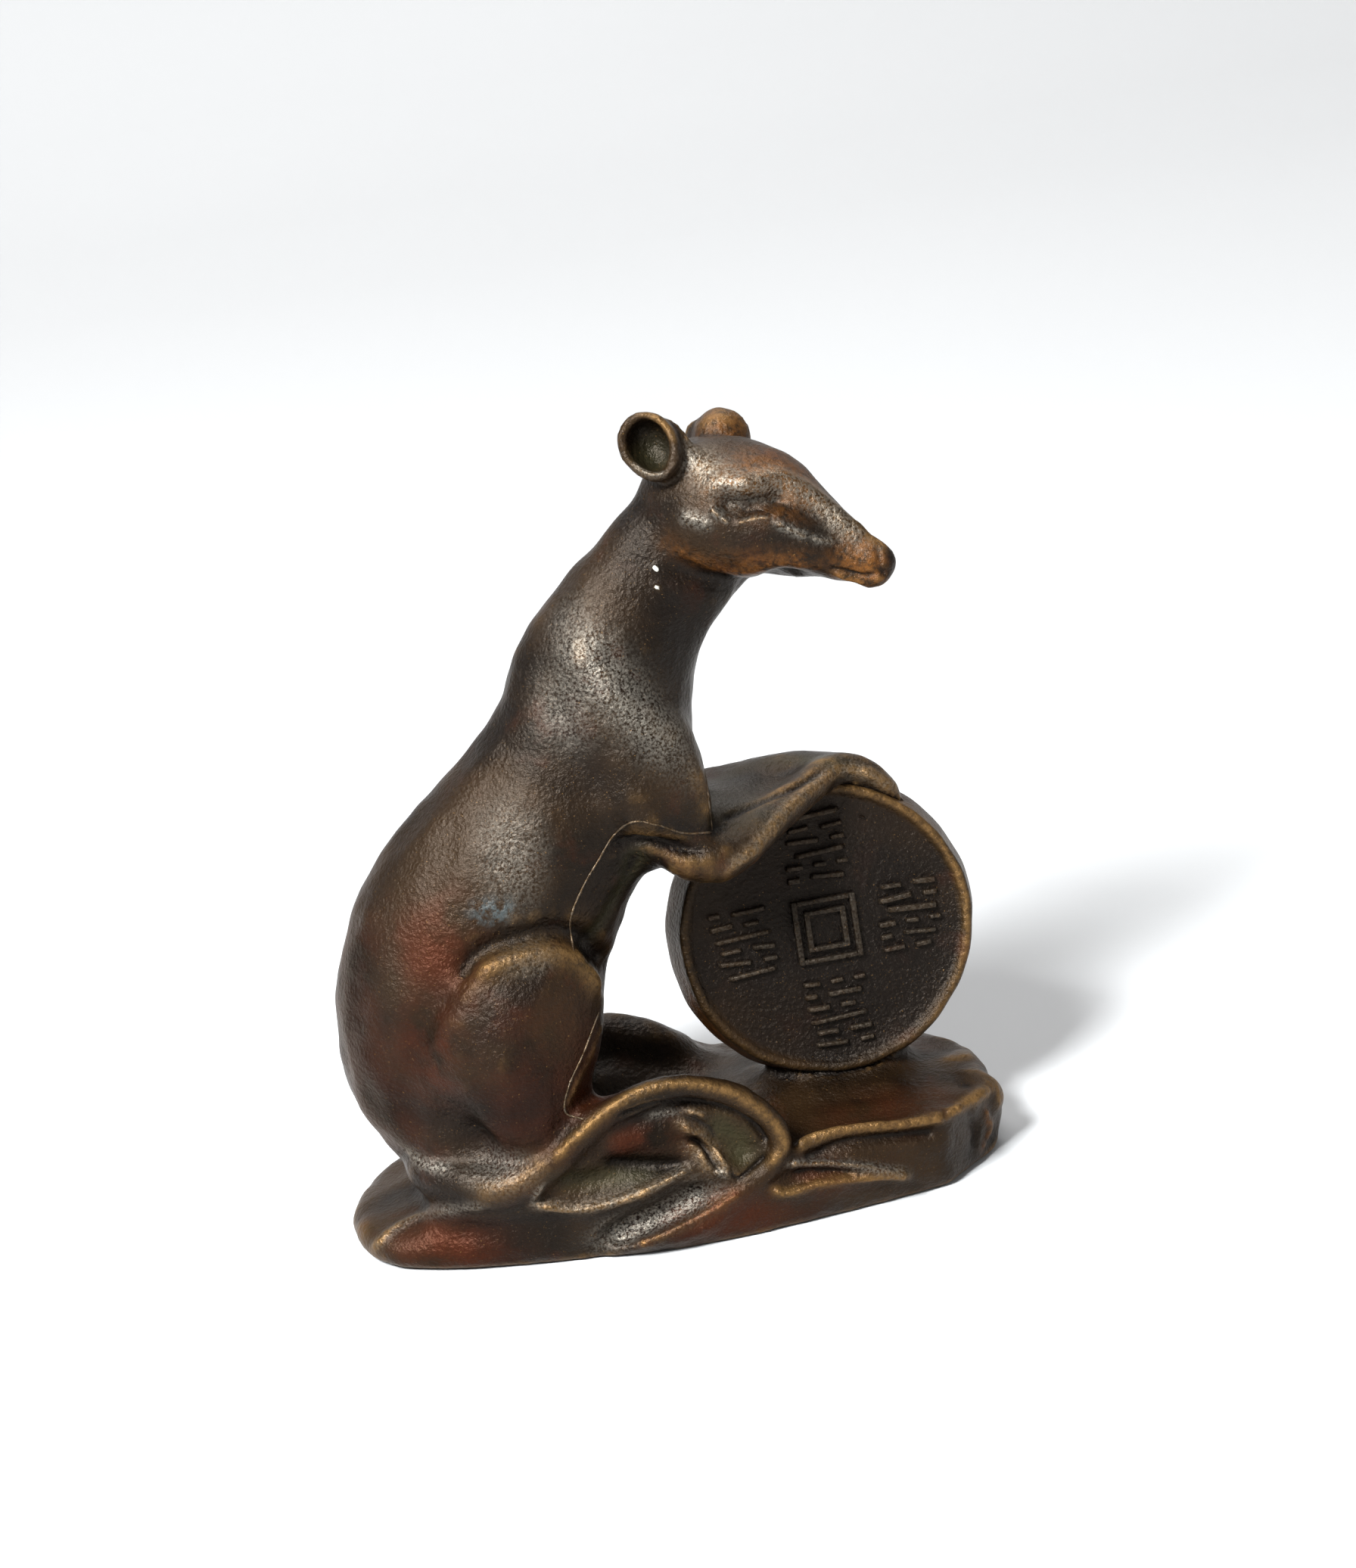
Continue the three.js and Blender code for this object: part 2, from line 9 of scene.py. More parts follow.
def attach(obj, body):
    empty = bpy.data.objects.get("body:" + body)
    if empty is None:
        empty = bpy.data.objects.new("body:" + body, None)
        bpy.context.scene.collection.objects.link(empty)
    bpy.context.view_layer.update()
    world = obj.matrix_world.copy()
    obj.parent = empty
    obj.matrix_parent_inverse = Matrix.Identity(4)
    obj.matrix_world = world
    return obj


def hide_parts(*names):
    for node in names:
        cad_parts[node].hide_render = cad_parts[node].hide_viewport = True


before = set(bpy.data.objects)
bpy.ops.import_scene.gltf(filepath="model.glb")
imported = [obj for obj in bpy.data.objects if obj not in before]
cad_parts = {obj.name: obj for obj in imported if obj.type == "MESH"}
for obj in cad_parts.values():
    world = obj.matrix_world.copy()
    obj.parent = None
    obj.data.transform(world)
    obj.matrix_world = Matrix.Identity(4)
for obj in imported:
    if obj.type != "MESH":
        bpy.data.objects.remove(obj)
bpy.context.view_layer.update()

mm = 0.001

# The camera looks from a little to the left and from above.
view = {"azimuth": 7.0, "elevation": 20.0, "roll": 7.5, "focal": 4620.0, "distance": 280.0,
        "target": (4.3, 0.0, 34.5), "frame": (1792, 2072)}


def viewAxes():
    turn, rise, roll = (math.radians(view[name]) for name in ("azimuth", "elevation", "roll"))
    ahead = Vector((math.sin(turn) * math.cos(rise), math.cos(turn) * math.cos(rise), -math.sin(rise)))
    side = Vector((math.cos(turn), -math.sin(turn), 0))
    up = side.cross(ahead)
    right = side * math.cos(roll) - up * math.sin(roll)
    return ahead, right, side * math.sin(roll) + up * math.cos(roll)


ahead, right, above = viewAxes()
eye = Vector(view["target"]) - ahead * view["distance"]


def addCamera():
    data = bpy.data.cameras.new("camera")
    data.sensor_fit = "VERTICAL"
    data.sensor_height = 36
    data.lens = view["focal"] / view["frame"][1] * 36
    data.clip_start = 0.01
    camera = bpy.data.objects.new("camera", data)
    bpy.context.scene.collection.objects.link(camera)
    turned = Matrix((right, above, -ahead)).transposed().to_4x4()
    turned.translation = eye * mm
    camera.matrix_world = turned
    bpy.context.scene.camera = camera


addCamera()
print("camera placed")


def deselect():
    if bpy.context.mode != "OBJECT":
        bpy.ops.object.mode_set(mode="OBJECT")
    bpy.ops.object.select_all(action="DESELECT")


def only(piece):
    deselect()
    piece.select_set(True)
    bpy.context.view_layer.objects.active = piece


def applyModifier(piece, kind, **settings):
    only(piece)
    modifier = piece.modifiers.new("step", kind)
    for name, value in settings.items():
        setattr(modifier, name, value)
    bpy.ops.object.modifier_apply(modifier=modifier.name)


def places(piece):  # corners of a mesh in millimetres
    co = np.empty(len(piece.data.vertices) * 3)
    piece.data.vertices.foreach_get("co", co)
    return co.reshape(-1, 3) / mm


def setPlaces(piece, co):
    piece.data.vertices.foreach_set("co", (co * mm).ravel())
    piece.data.update()


def outward(piece):
    normals = np.empty(len(piece.data.vertices) * 3)
    piece.data.vertices.foreach_get("normal", normals)
    return normals.reshape(-1, 3)


def finishPiece(piece, name, angle=None):
    only(piece)
    bpy.ops.object.transform_apply(location=True, rotation=True, scale=True)
    if angle is None:
        bpy.ops.object.shade_smooth()
    else:
        bpy.ops.object.shade_smooth_by_angle(angle=math.radians(angle))
    piece.name = name
    piece.data.name = name


def joined(pieces):
    deselect()
    for piece in pieces:
        piece.select_set(True)
    bpy.context.view_layer.objects.active = pieces[0]
    bpy.ops.object.join()
    return pieces[0]


def smoothstep(low, high, value):
    t = np.clip((value - low) / (high - low), 0, 1)
    return t * t * (3 - 2 * t)


def spread(co, centre, radius):  # 1 at the centre, 0 past the radius
    return 1 - smoothstep(0, 1, np.linalg.norm((co - np.array(centre)) / np.array(radius), axis=1))


def lineDistance(co, line):  # distance to a line of points, and the share of the line's length
    best = np.full(len(co), 1e9)
    share = np.zeros(len(co))
    lengths = np.linalg.norm(np.diff(line, axis=0), axis=1)
    total = lengths.sum()
    start = 0
    for a, b, length in zip(line[:-1], line[1:], lengths):
        t = np.clip(((co - a) @ (b - a)) / max(length * length, 1e-9), 0, 1)
        gap = np.linalg.norm(co - (a + t[:, None] * (b - a)), axis=1)
        nearer = gap < best
        best[nearer] = gap[nearer]
        share[nearer] = (start + t[nearer] * length) / total
        start += length
    return best, share


def curveThrough(points, steps=8):  # a smooth line of points through the given ones
    points = [np.array(p, float) for p in points]
    padded = [2 * points[0] - points[1]] + points + [2 * points[-1] - points[-2]]
    line = []
    for i in range(len(points) - 1):
        a, b, c, d = padded[i:i + 4]
        for k in range(steps):
            t = k / steps
            line.append(0.5 * (2 * b + (c - a) * t + (2 * a - 5 * b + 4 * c - d) * t * t
                               + (3 * b - a - 3 * c + d) * t ** 3))
    line.append(points[-1])
    return np.array(line)


class Surface:  # the skin of the casting, to find what a pixel of the view shows
    def __init__(self, piece):
        mesh = piece.data
        self.tree = BVHTree.FromPolygons([v.co / mm for v in mesh.vertices], [p.vertices for p in mesh.polygons])

    def seen(self, x, y):
        width, height = view["frame"]
        way = (ahead + right * ((x - width / 2) / view["focal"]) - above * ((y - height / 2) / view["focal"]))
        hit = self.tree.ray_cast(eye, way.normalized())[0]
        return None if hit is None else np.array(hit)

    def line(self, pixels, steps=6):
        flat = curveThrough([(x, y, 0) for x, y in pixels], steps)
        hits = [self.seen(x, y) for x, y, _ in flat]
        return np.array([hit for hit in hits if hit is not None])


# Coin, in millimetres: where it stands in the blank, how far it and the paws move, its profile and its strokes.
coin = {"blankCentre": (14.7, 1.52, 18.68), "shift": (0.25, 1.0, 0.55), "lean": 12.0, "broader": 1.02,
        "rimFade": (14.2, 13.0), "slabFade": (5, 3.4), "footFade": (5.8, 7.6),
        "pawShare": 0.6, "pawLow": (19, 23), "pawHigh": (39, 33), "pawLeft": (-1, 4),
        "around": 200, "profile": [(10.8, -2.6), (11.7, -2.5), (12.35, -1.95), (12.62, -1.2), (12.62, -0.7),
                                   (12.42, 0.3), (12.14, 1.4), (11.98, 2.15), (11.9, 2.45), (11.74, 2.62),
                                   (11.52, 2.66), (11.3, 2.6), (11.12, 2.42), (10.95, 2.24), (10.7, 2.15),
                                   (8, 2.13), (5, 2.12)],
        "waves": [(5, 0.05, 1), (11, 0.04, 0), (23, 0.025, 2)], "field": 2.13, "sunk": 0.35,
        "square": 5.4, "bar": 0.5, "gap": 0.45, "groupAt": 6.95, "groupWide": 5.4, "groupHigh": 5.6,
        "stroke": 0.48, "rise": 0.5, "root": 0.3, "bevel": 0.11, "turn": 0.09, "seed": 7, "rowCount": 6,
        "dash": (4.3, 8.6, 0.7, 0.25, 0.2, -0.5),
        "rows": [[(-0.5, 0.5)], [(-0.5, -0.2), (-0.08, 0.16), (0.28, 0.5)], [(-0.4, -0.02), (0.1, 0.5)],
                 [(-0.5, -0.28), (-0.16, 0.44)], [(-0.46, 0.12), (0.24, 0.5)], [(-0.5, -0.1), (0.02, 0.3)],
                 [(-0.36, 0.5)]]}
lean = math.radians(coin["lean"])
coinUp = Vector((0, math.sin(lean), math.cos(lean)))
coinOut = Vector((0, -math.cos(lean), math.sin(lean)))  # the way the coin's face looks
coinCentre = np.array(coin["blankCentre"]) + np.array(coin["shift"])


# Casting: rat, coin and base in one skin.
casting = {"firstVoxel": 0.42, "melt": 34, "voxel": 0.3, "settle": 5, "triangles": 190000,
           "crisp": [((22, -8, 52), 4, 0.8), ((2.5, -11, 6.5), 7, 1), ((3, 9, 7), 7, 1),
                     ((20, -3, 31.5), 5.5, 0.7), ((20, 3, 31), 6, 0.6), ((8, -6, 30), 5, 0.5),
                     ((24, -8, 4), 6, 1), ((-9, -11, 20), 8, 0.5)]}  # centre, reach and how much is kept


def copyOfSolid():
    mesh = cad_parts["rat_casting"].data.copy()
    piece = bpy.data.objects.new("rat_bronze", mesh)
    bpy.context.scene.collection.objects.link(piece)
    only(piece)
    bpy.ops.object.mode_set(mode="EDIT")
    bpy.ops.mesh.select_all(action="SELECT")
    bpy.ops.mesh.remove_doubles(threshold=1e-7)
    bpy.ops.object.mode_set(mode="OBJECT")
    return piece


def remesh(piece, size):
    applyModifier(piece, "REMESH", mode="VOXEL", voxel_size=size * mm, use_smooth_shade=True)


def melt(piece, weights, times):  # rounds the facets off, most where the weight is 1
    only(piece)
    group = piece.vertex_groups.new(name="melt")
    levels = np.round(weights * 20) / 20
    for level in np.unique(levels):
        group.add(np.nonzero(levels == level)[0].tolist(), float(level), "REPLACE")
    applyModifier(piece, "SMOOTH", factor=0.5, iterations=times, vertex_group="melt")
    piece.vertex_groups.clear()


def meltWeights(co):  # nose, paws, feet, tail and folds keep their shape, and so does the low edge
    keep = np.zeros(len(co))
    for centre, radius, share in casting["crisp"]:
        keep = np.maximum(keep, share * spread(co, centre, radius))
    front = smoothstep(-9.5, -11, co[:, 1]) * smoothstep(16, 14, co[:, 2])
    low = smoothstep(9, 7, co[:, 2]) * smoothstep(1, 0.6, np.abs(co[:, 1]) / 13)
    edge = (1 - low) * smoothstep(8, 6, co[:, 2])
    return np.clip(1 - np.maximum(keep, np.maximum(front * 0.85, edge * 0.6)), 0.08, 1)


def setCoinBack(piece):  # the coin moves back and up from its place in the blank, and draws the paws along
    co = places(piece)
    x, height = co[:, 0], co[:, 2]
    off = co - np.array(coin["blankCentre"])
    reach = np.hypot(off[:, 0], off @ np.array(coinUp))
    depth = np.abs(off @ np.array(coinOut))
    disc = smoothstep(*coin["rimFade"], reach) * smoothstep(*coin["slabFade"], depth)
    disc = disc * smoothstep(*coin["footFade"], height)
    paws = coin["pawShare"] * smoothstep(*coin["pawLow"], height) * smoothstep(*coin["pawHigh"], height)
    paws = paws * smoothstep(*coin["pawLeft"], x)
    setPlaces(piece, co + np.maximum(disc, paws)[:, None] * np.array(coin["shift"]))


head = {"turn": 34, "pitch": 17, "roll": 14}
ears = {"near": {"centre": (5.15, -3.1, 63.1), "half": (1.95, 2.5), "depth": 2.1, "lean": 0.6},
        "far": {"centre": (11.9, 4.6, 60.7), "half": (2.2, 2.3), "depth": 2.2, "lean": 0.0},
        "wall": 0.66, "cutAt": 0.22, "flare": 0.12}
tailShape = {"line": [(-18.6, 0, 8.8), (-20, -5.6, 7.5), (-15.4, -10.2, 7.3), (-11, -11.4, 9), (-7, -11.8, 12.2),
                      (-3, -12.0, 13.6), (0.4, -12.1, 13.8), (4.4, -12.1, 12), (7, -12.1, 8.8), (6.4, -12.4, 6),
                      (3.4, -12.5, 3.9)],
             "radius": [2.3, 2.3, 1.9, 1.45, 1.2, 1.05, 1.0, 0.98, 0.95, 0.9, 0.85]}


def headAxes():
    turn, pitch, roll = (math.radians(head[name]) for name in ("turn", "pitch", "roll"))
    forward = Vector((math.cos(turn) * math.cos(pitch), -math.sin(turn) * math.cos(pitch), -math.sin(pitch)))
    level = Vector((math.sin(turn), math.cos(turn), 0))
    return forward, Matrix.Rotation(-roll, 3, forward) @ level


def makeEar(shape, side):  # a cup with a thick lip: a ball cut open, turned and given its wall
    forward, left = headAxes()
    deselect()
    bpy.ops.mesh.primitive_uv_sphere_add(segments=40, ring_count=24, radius=mm)
    ear = bpy.context.object
    bpy.ops.object.mode_set(mode="EDIT")
    bpy.ops.mesh.select_all(action="SELECT")
    bpy.ops.mesh.bisect(plane_co=(0, 0, ears["cutAt"] * mm), plane_no=(0, 0, 1), clear_outer=True)
    bpy.ops.object.mode_set(mode="OBJECT")
    mouth = (left * side + forward * 0.12 + Vector((0, 0, 0.12))).normalized()
    tall = above - right * shape["lean"]
    tall = (tall - mouth * tall.dot(mouth)).normalized()
    wide = tall.cross(mouth)
    co = places(ear)
    narrow = 1 + ears["flare"] * co[:, 1]  # the lip is broader at its top
    shaped = (np.outer(co[:, 0] * shape["half"][0] * narrow, wide) + np.outer(co[:, 1] * shape["half"][1], tall)
              + np.outer(co[:, 2] * shape["depth"], mouth)) + np.array(shape["centre"])
    setPlaces(ear, shaped)
    only(ear)
    bpy.ops.object.mode_set(mode="EDIT")
    bpy.ops.mesh.select_all(action="SELECT")
    bpy.ops.mesh.normals_make_consistent(inside=False)
    bpy.ops.object.mode_set(mode="OBJECT")
    applyModifier(ear, "SOLIDIFY", thickness=ears["wall"] * mm, offset=0.0)
    return ear


def tubeAlong(name, points, radii, around=6):
    data = bpy.data.curves.new(name, "CURVE")
    data.dimensions = "3D"
    data.bevel_depth = 1.0 * mm
    data.bevel_resolution = around
    data.use_fill_caps = True
    spline = data.splines.new("POLY")
    spline.points.add(len(points) - 1)
    for place, point, radius in zip(spline.points, points, radii):
        place.co = (*(np.array(point) * mm), 1)
        place.radius = radius
    tube = bpy.data.objects.new(name, data)
    bpy.context.scene.collection.objects.link(tube)
    only(tube)
    bpy.ops.object.convert(target="MESH")
    return bpy.context.object


def makeTail():
    line = curveThrough(tailShape["line"], 8)
    radii = np.interp(np.linspace(0, 1, len(line)), np.linspace(0, 1, len(tailShape["radius"])), tailShape["radius"])
    return tubeAlong("tail", line, radii)


def refine(piece, chosen):  # halves the faces whose corners are all chosen
    only(piece)
    bpy.ops.object.mode_set(mode="EDIT")
    bpy.ops.mesh.select_all(action="DESELECT")
    bpy.ops.object.mode_set(mode="OBJECT")
    piece.data.vertices.foreach_set("select", chosen)
    loops = np.empty(len(piece.data.loops), int)
    piece.data.loops.foreach_get("vertex_index", loops)
    starts = np.empty(len(piece.data.polygons), int)
    piece.data.polygons.foreach_get("loop_start", starts)
    piece.data.polygons.foreach_set("select", np.minimum.reduceat(chosen[loops], starts))
    bpy.ops.object.mode_set(mode="EDIT")
    bpy.ops.mesh.select_mode(type="FACE")
    bpy.ops.mesh.subdivide(number_cuts=1, smoothness=0)
    bpy.ops.object.mode_set(mode="OBJECT")


print("casting started")
body = copyOfSolid()
remesh(body, casting["firstVoxel"])
melt(body, meltWeights(places(body)), casting["melt"])
setCoinBack(body)
body = joined([body, makeEar(ears["near"], -1), makeEar(ears["far"], 1), makeTail()])
remesh(body, casting["voxel"])
melt(body, np.ones(len(body.data.vertices)), casting["settle"])


def fineZone(co):  # the face, and the front of the base with the foot and the tail
    face = spread(co, (14, -6, 57), (13, 8, 9)) > 0.02
    front = (co[:, 1] < -6.5) & (co[:, 2] < 15.5) & (co[:, 2] > 0.6)
    return face | front


refine(body, fineZone(places(body)))
melt(body, np.ones(len(body.data.vertices)), 2)
print("casting", len(body.data.polygons), "faces")

# Carving: lines set by what the view shows, each with its width and rise in millimetres and the colours along it:
# patina and wear, painted shade in the dark marks and a painted highlight in the light grey marks.
carving = [
    ("brow", 1.0, 0.6, {"painted_sheen": 0.9, "gold": 0.3},
     [(962, 642), (983, 643), (1008, 639), (1032, 634), (1059, 644), (1084, 662), (1120, 693), (1149, 713)]),
    ("brow back", 1.2, 0.25, {"painted_sheen": 0.9, "gold": 0.2},
     [(918, 604), (936, 619), (951, 633), (969, 642)]),
    ("eye socket", 0.9, -1.0, {"deep": 0.9},
     [(962, 664), (983, 666), (1005, 662), (1026, 656)]),
    ("snout side", 0.9, -0.35, {"deep": 0.4},
     [(1026, 656), (1055, 669), (1084, 687), (1106, 705)]),
    ("eye lid", 0.17, 0.16, {"painted_sheen": 0.4},
     [(975, 692), (996, 685), (1016, 684)]),
    ("under lid", 0.34, -0.22, {"deep": 0.9},
     [(976, 682), (994, 675), (1016, 675)]),
    ("eye", 0.34, 0.35, {"painted_sheen": 1.0},
     [(944, 675), (949, 679)]),
    ("eye corner", 0.2, 0.2, {"painted_sheen": 0.8},
     [(956, 686), (960, 688)]),
    ("cheek bump", 0.5, 0.2, {"painted_sheen": 0.7},
     [(908, 684), (920, 686), (932, 691)]),
    ("cheek ridge", 0.3, 0.2, {"painted_sheen": 0.8},
     [(1025, 691), (1044, 700), (1067, 709)]),
    ("cheek ridge end", 0.25, 0.12, {"painted_sheen": 0.6},
     [(1077, 712), (1097, 715)]),
    ("snout edge gold", 0.45, 0.12, {"gold": 1.0},
     [(1120, 691), (1142, 706), (1160, 718), (1174, 730)]),
    ("mouth", 0.22, -0.28, {"deep": 0.7},
     [(1095, 752), (1116, 755), (1138, 760), (1160, 757)]),
    ("lip", 0.35, 0.2, {"rust": 0.9, "gold": 0.4},
     [(1102, 757), (1124, 764), (1145, 766)]),
    ("nose", 0.8, 0.15, {"deep": 1.0},
     [(1174, 734), (1179, 745), (1172, 752)]),
    ("nostril", 0.22, -0.3, {"deep": 1.0},
     [(1163, 753), (1167, 755)]),
    ("nose edge", 0.22, -0.14, {"deep": 0.5},
     [(1158, 725), (1161, 739), (1158, 752)]),
    ("jaw", 0.9, 0.25, {"rust": 0.7},
     [(884, 720), (915, 741), (962, 754), (994, 752), (1034, 743), (1077, 748)]),
    ("ear fold", 0.16, 0.2, {"painted_sheen": 0.5},
     [(837, 613), (849, 623), (864, 628), (880, 626)]),
    ("haunch crest", 0.95, 0.55, {"gold": 0.6},
     [(624, 1293), (655, 1273), (685, 1263), (728, 1256), (765, 1268), (785, 1296), (794, 1314)]),
    ("haunch back", 1.3, -0.5, {"deep": 0.35},
     [(601, 1298), (572, 1336), (550, 1382), (538, 1428), (538, 1465)]),
    ("leg hollow", 2.3, -0.75, {"deep": 0.8},
     [(532, 1471), (575, 1489), (624, 1498)]),
    ("leg light", 0.5, 0.1, {"painted_sheen": 0.6},
     [(532, 1515), (560, 1537), (596, 1543)]),
    ("leg front", 0.3, 0.12, {"gold": 0.35},
     [(795, 1354), (779, 1397), (760, 1434), (748, 1462)]),
    ("tail crest", 0.36, 0.2, {"gold": 0.8},
     [(732, 1532), (780, 1486), (812, 1460), (850, 1440), (890, 1432), (930, 1434),
      (970, 1445), (1000, 1463), (1022, 1482), (1034, 1502), (1034, 1520), (1016, 1538)]),
    ("tail low", 0.7, 0.1, {"gold": 0.35},
     [(624, 1581), (685, 1563), (728, 1529)]),
    ("instep", 1.2, 0.5, {"red": 0.8},
     [(824, 1510), (852, 1503), (880, 1498), (900, 1498)]),
    ("toe one", 0.42, 0.55, {"gold": 0.55, "painted_sheen": 0.4},
     [(898, 1482), (914, 1489), (928, 1496), (940, 1515), (952, 1534), (965, 1551)]),
    ("toe two", 0.42, 0.55, {"gold": 0.5, "painted_sheen": 0.4},
     [(904, 1512), (920, 1522), (932, 1538), (943, 1550)]),
    ("toe gap", 0.26, -0.22, {"deep": 0.9},
     [(908, 1500), (926, 1512), (938, 1532), (950, 1544)]),
    ("claws", 0.3, 0.3, {"painted_sheen": 1.0},
     [(949, 1550), (958, 1552)]),
    ("arch floor", 1.1, -0.3, {"olive": 1.0},
     [(952, 1492), (972, 1504), (980, 1524)]),
    ("tail inner", 0.3, -0.4, {"deep": 0.9},
     [(820, 1476), (856, 1462), (896, 1456), (940, 1460), (976, 1472), (1000, 1492), (1014, 1512)]),
    ("step", 0.3, 0.2, {"painted_sheen": 0.7},
     [(719, 1566), (710, 1578), (704, 1590)]),
    ("fold silver", 0.4, 0.55, {"painted_sheen": 0.5, "gold": 0.3},
     [(704, 1592), (760, 1596), (800, 1591), (840, 1579), (880, 1561), (910, 1543)]),
    ("fold flat", 0.9, -0.35, {"olive": 0.8},
     [(734, 1560), (796, 1557), (869, 1544)]),
    ("trough", 1.15, -0.95, {"painted_sheen": 0.75},
     [(792, 1646), (820, 1628), (860, 1608), (900, 1588), (940, 1568)]),
    ("fold low", 0.45, 0.4, {"red": 0.8, "gold": 0.2},
     [(840, 1646), (880, 1630), (920, 1610), (956, 1590), (980, 1572)]),
    ("fold end", 0.4, 0.2, {},
     [(784, 1643), (790, 1630), (808, 1612), (857, 1584)]),
    ("fold gold", 0.36, 0.55, {"gold": 0.95},
     [(1053, 1518), (1066, 1510), (1084, 1503), (1100, 1498), (1130, 1492), (1190, 1487), (1248, 1477)]),
    ("fold gold under", 0.5, -0.5, {"deep": 0.7},
     [(1060, 1533), (1115, 1511), (1176, 1503), (1238, 1497)]),
    ("corner gold", 0.4, 0.3, {"gold": 0.95},
     [(1250, 1477), (1265, 1465), (1308, 1440)]),
    ("fold right", 0.36, 0.4, {"painted_sheen": 0.6},
     [(1042, 1538), (1070, 1537), (1100, 1538), (1140, 1542), (1200, 1550)]),
    ("fold right gap", 0.45, -0.45, {"deep": 0.5},
     [(1044, 1551), (1090, 1549), (1133, 1551)]),
    ("fold right gold", 0.36, 0.5, {"gold": 0.8},
     [(1021, 1571), (1036, 1577), (1052, 1574), (1080, 1565), (1112, 1559), (1150, 1554), (1180, 1553), (1200, 1555)]),
    ("lip fold", 0.45, 0.25, {"painted_sheen": 0.4},
     [(492, 1652), (520, 1624), (550, 1609), (587, 1600), (642, 1594)]),
    ("lip dark", 1.0, -0.2, {"deep": 0.8},
     [(495, 1594), (538, 1569), (587, 1584), (642, 1584)]),
    ("end face rough one", 0.6, -0.35, {"deep": 0.6},
     [(1280, 1477), (1293, 1495), (1284, 1520)]),
    ("end face rough two", 0.35, 0.25, {"rust": 0.6},
     [(1302, 1465), (1311, 1495), (1299, 1520)]),
    ("top edge gold", 0.5, 0.1, {"gold": 0.45},
     [(1256, 1400), (1302, 1396), (1317, 1428)]),
    ("shoulder blade", 1.9, 0.7, {"painted_sheen": 0.75},
     [(756, 821), (789, 884), (832, 932), (880, 975), (909, 1008)]),
    ("arm hollow", 1.8, -0.8, {"deep": 0.8},
     [(722, 903), (751, 980), (784, 1037), (804, 1075)]),
    ("neck hollow", 1.6, -0.25, {"deep": 0.5},
     [(829, 725), (880, 787), (912, 860)]),
    ("belly strip", 0.8, -0.3, {"olive": 0.8},
     [(844, 1124), (818, 1181), (782, 1243), (772, 1284)]),
    ("sleeve edge", 0.4, 0.04, {"deep": 0.8},
     [(818, 1082), (880, 1093), (937, 1096)]),
    ("sleeve under", 0.55, -0.5, {"deep": 1.0},
     [(829, 1113), (880, 1119), (922, 1124)]),
    ("forearm ridge", 0.5, 0.3, {"gold": 0.55, "painted_sheen": 0.5},
     [(963, 1150), (1000, 1119), (1046, 1067), (1098, 1025), (1139, 1020), (1181, 1041)]),
    ("forearm under", 0.35, -0.2, {"deep": 0.6},
     [(1025, 1124), (1077, 1072), (1113, 1048)]),
    ("arm gap", 0.3, -0.3, {"deep": 0.9},
     [(958, 1082), (1010, 1057), (1057, 1036), (1088, 1020)]),
    ("far arm", 0.9, 0.1, {"olive": 0.5},
     [(943, 1036), (994, 1010), (1057, 1003), (1119, 1010)]),
    ("paw line", 0.2, -0.2, {"deep": 0.7},
     [(1139, 1036), (1165, 1048), (1181, 1059)]),
    ("cheek", 2.2, 0.2, {},
     [(915, 716), (962, 727), (1005, 723)]),
    ("jaw under", 1.1, -0.6, {"deep": 1.0},
     [(879, 730), (911, 757), (962, 771), (998, 770), (1041, 760), (1084, 766)]),
    ("chin", 0.8, 0.5, {"deep": 0.5},
     [(1085, 769), (1114, 771), (1141, 770), (1158, 766)]),
    ("haunch behind", 0.9, -0.75, {"deep": 0.45},
     [(601, 1298), (630, 1263), (673, 1243), (728, 1233), (774, 1243), (805, 1279)]),
    ("haunch side", 2.6, 0.25, {},
     [(673, 1342), (685, 1391), (698, 1434)]),
    ("eye hollow", 0.36, -0.08, {"deep": 0.5},
     [(957, 669), (964, 678), (967, 687)]),
    ("instep top", 0.3, 0.15, {"painted_sheen": 0.5},
     [(856, 1475), (880, 1470), (896, 1470)]),
    ("toe three", 0.28, 0.45, {"gold": 0.3, "painted_sheen": 0.4},
     [(906, 1468), (920, 1469), (933, 1475)]),
    ("toe gap two", 0.2, -0.15, {"deep": 0.9},
     [(904, 1476), (920, 1480), (938, 1492), (944, 1504)]),
    ("foot under", 0.6, -0.5, {"deep": 1.0},
     [(800, 1536), (840, 1538), (880, 1540), (908, 1538)]),
    ("arch floor edge", 0.2, -0.3, {"deep": 1.0},
     [(966, 1548), (976, 1558), (992, 1544), (1010, 1526)]),
    ("sleeve corner", 0.8, 0.35, {"gold": 0.25},
     [(914, 1008), (928, 1052), (933, 1087)]),
    ("under sleeve", 0.7, -0.45, {"deep": 0.9},
     [(804, 1119), (842, 1114), (900, 1123), (938, 1123)]),
    ("rump dark", 3.0, 0, {"deep": 0.85, "red": 0.8},
     [(468, 1267), (463, 1344), (478, 1411), (506, 1469)]),
    ("thigh dark", 2.2, -0.2, {"deep": 0.7},
     [(564, 1440), (621, 1469), (689, 1469), (737, 1421)]),
    ("back dark", 1.3, 0, {"deep": 0.5},
     [(751, 788), (708, 884), (669, 951), (612, 1018), (535, 1114), (478, 1210)]),
    ("neck dark", 2.2, 0, {"deep": 0.8},
     [(880, 701), (880, 759), (904, 826), (914, 903)]),
    ("neck side dark", 1.8, 0, {"deep": 0.7},
     [(832, 663), (837, 721), (842, 778)]),
    ("speck one", 0.19, 0.12, {"pale": 1.0},
     [(865, 750), (868, 753)]),
    ("speck two", 0.19, 0.12, {"pale": 1.0},
     [(868, 775), (870, 778)]),
]
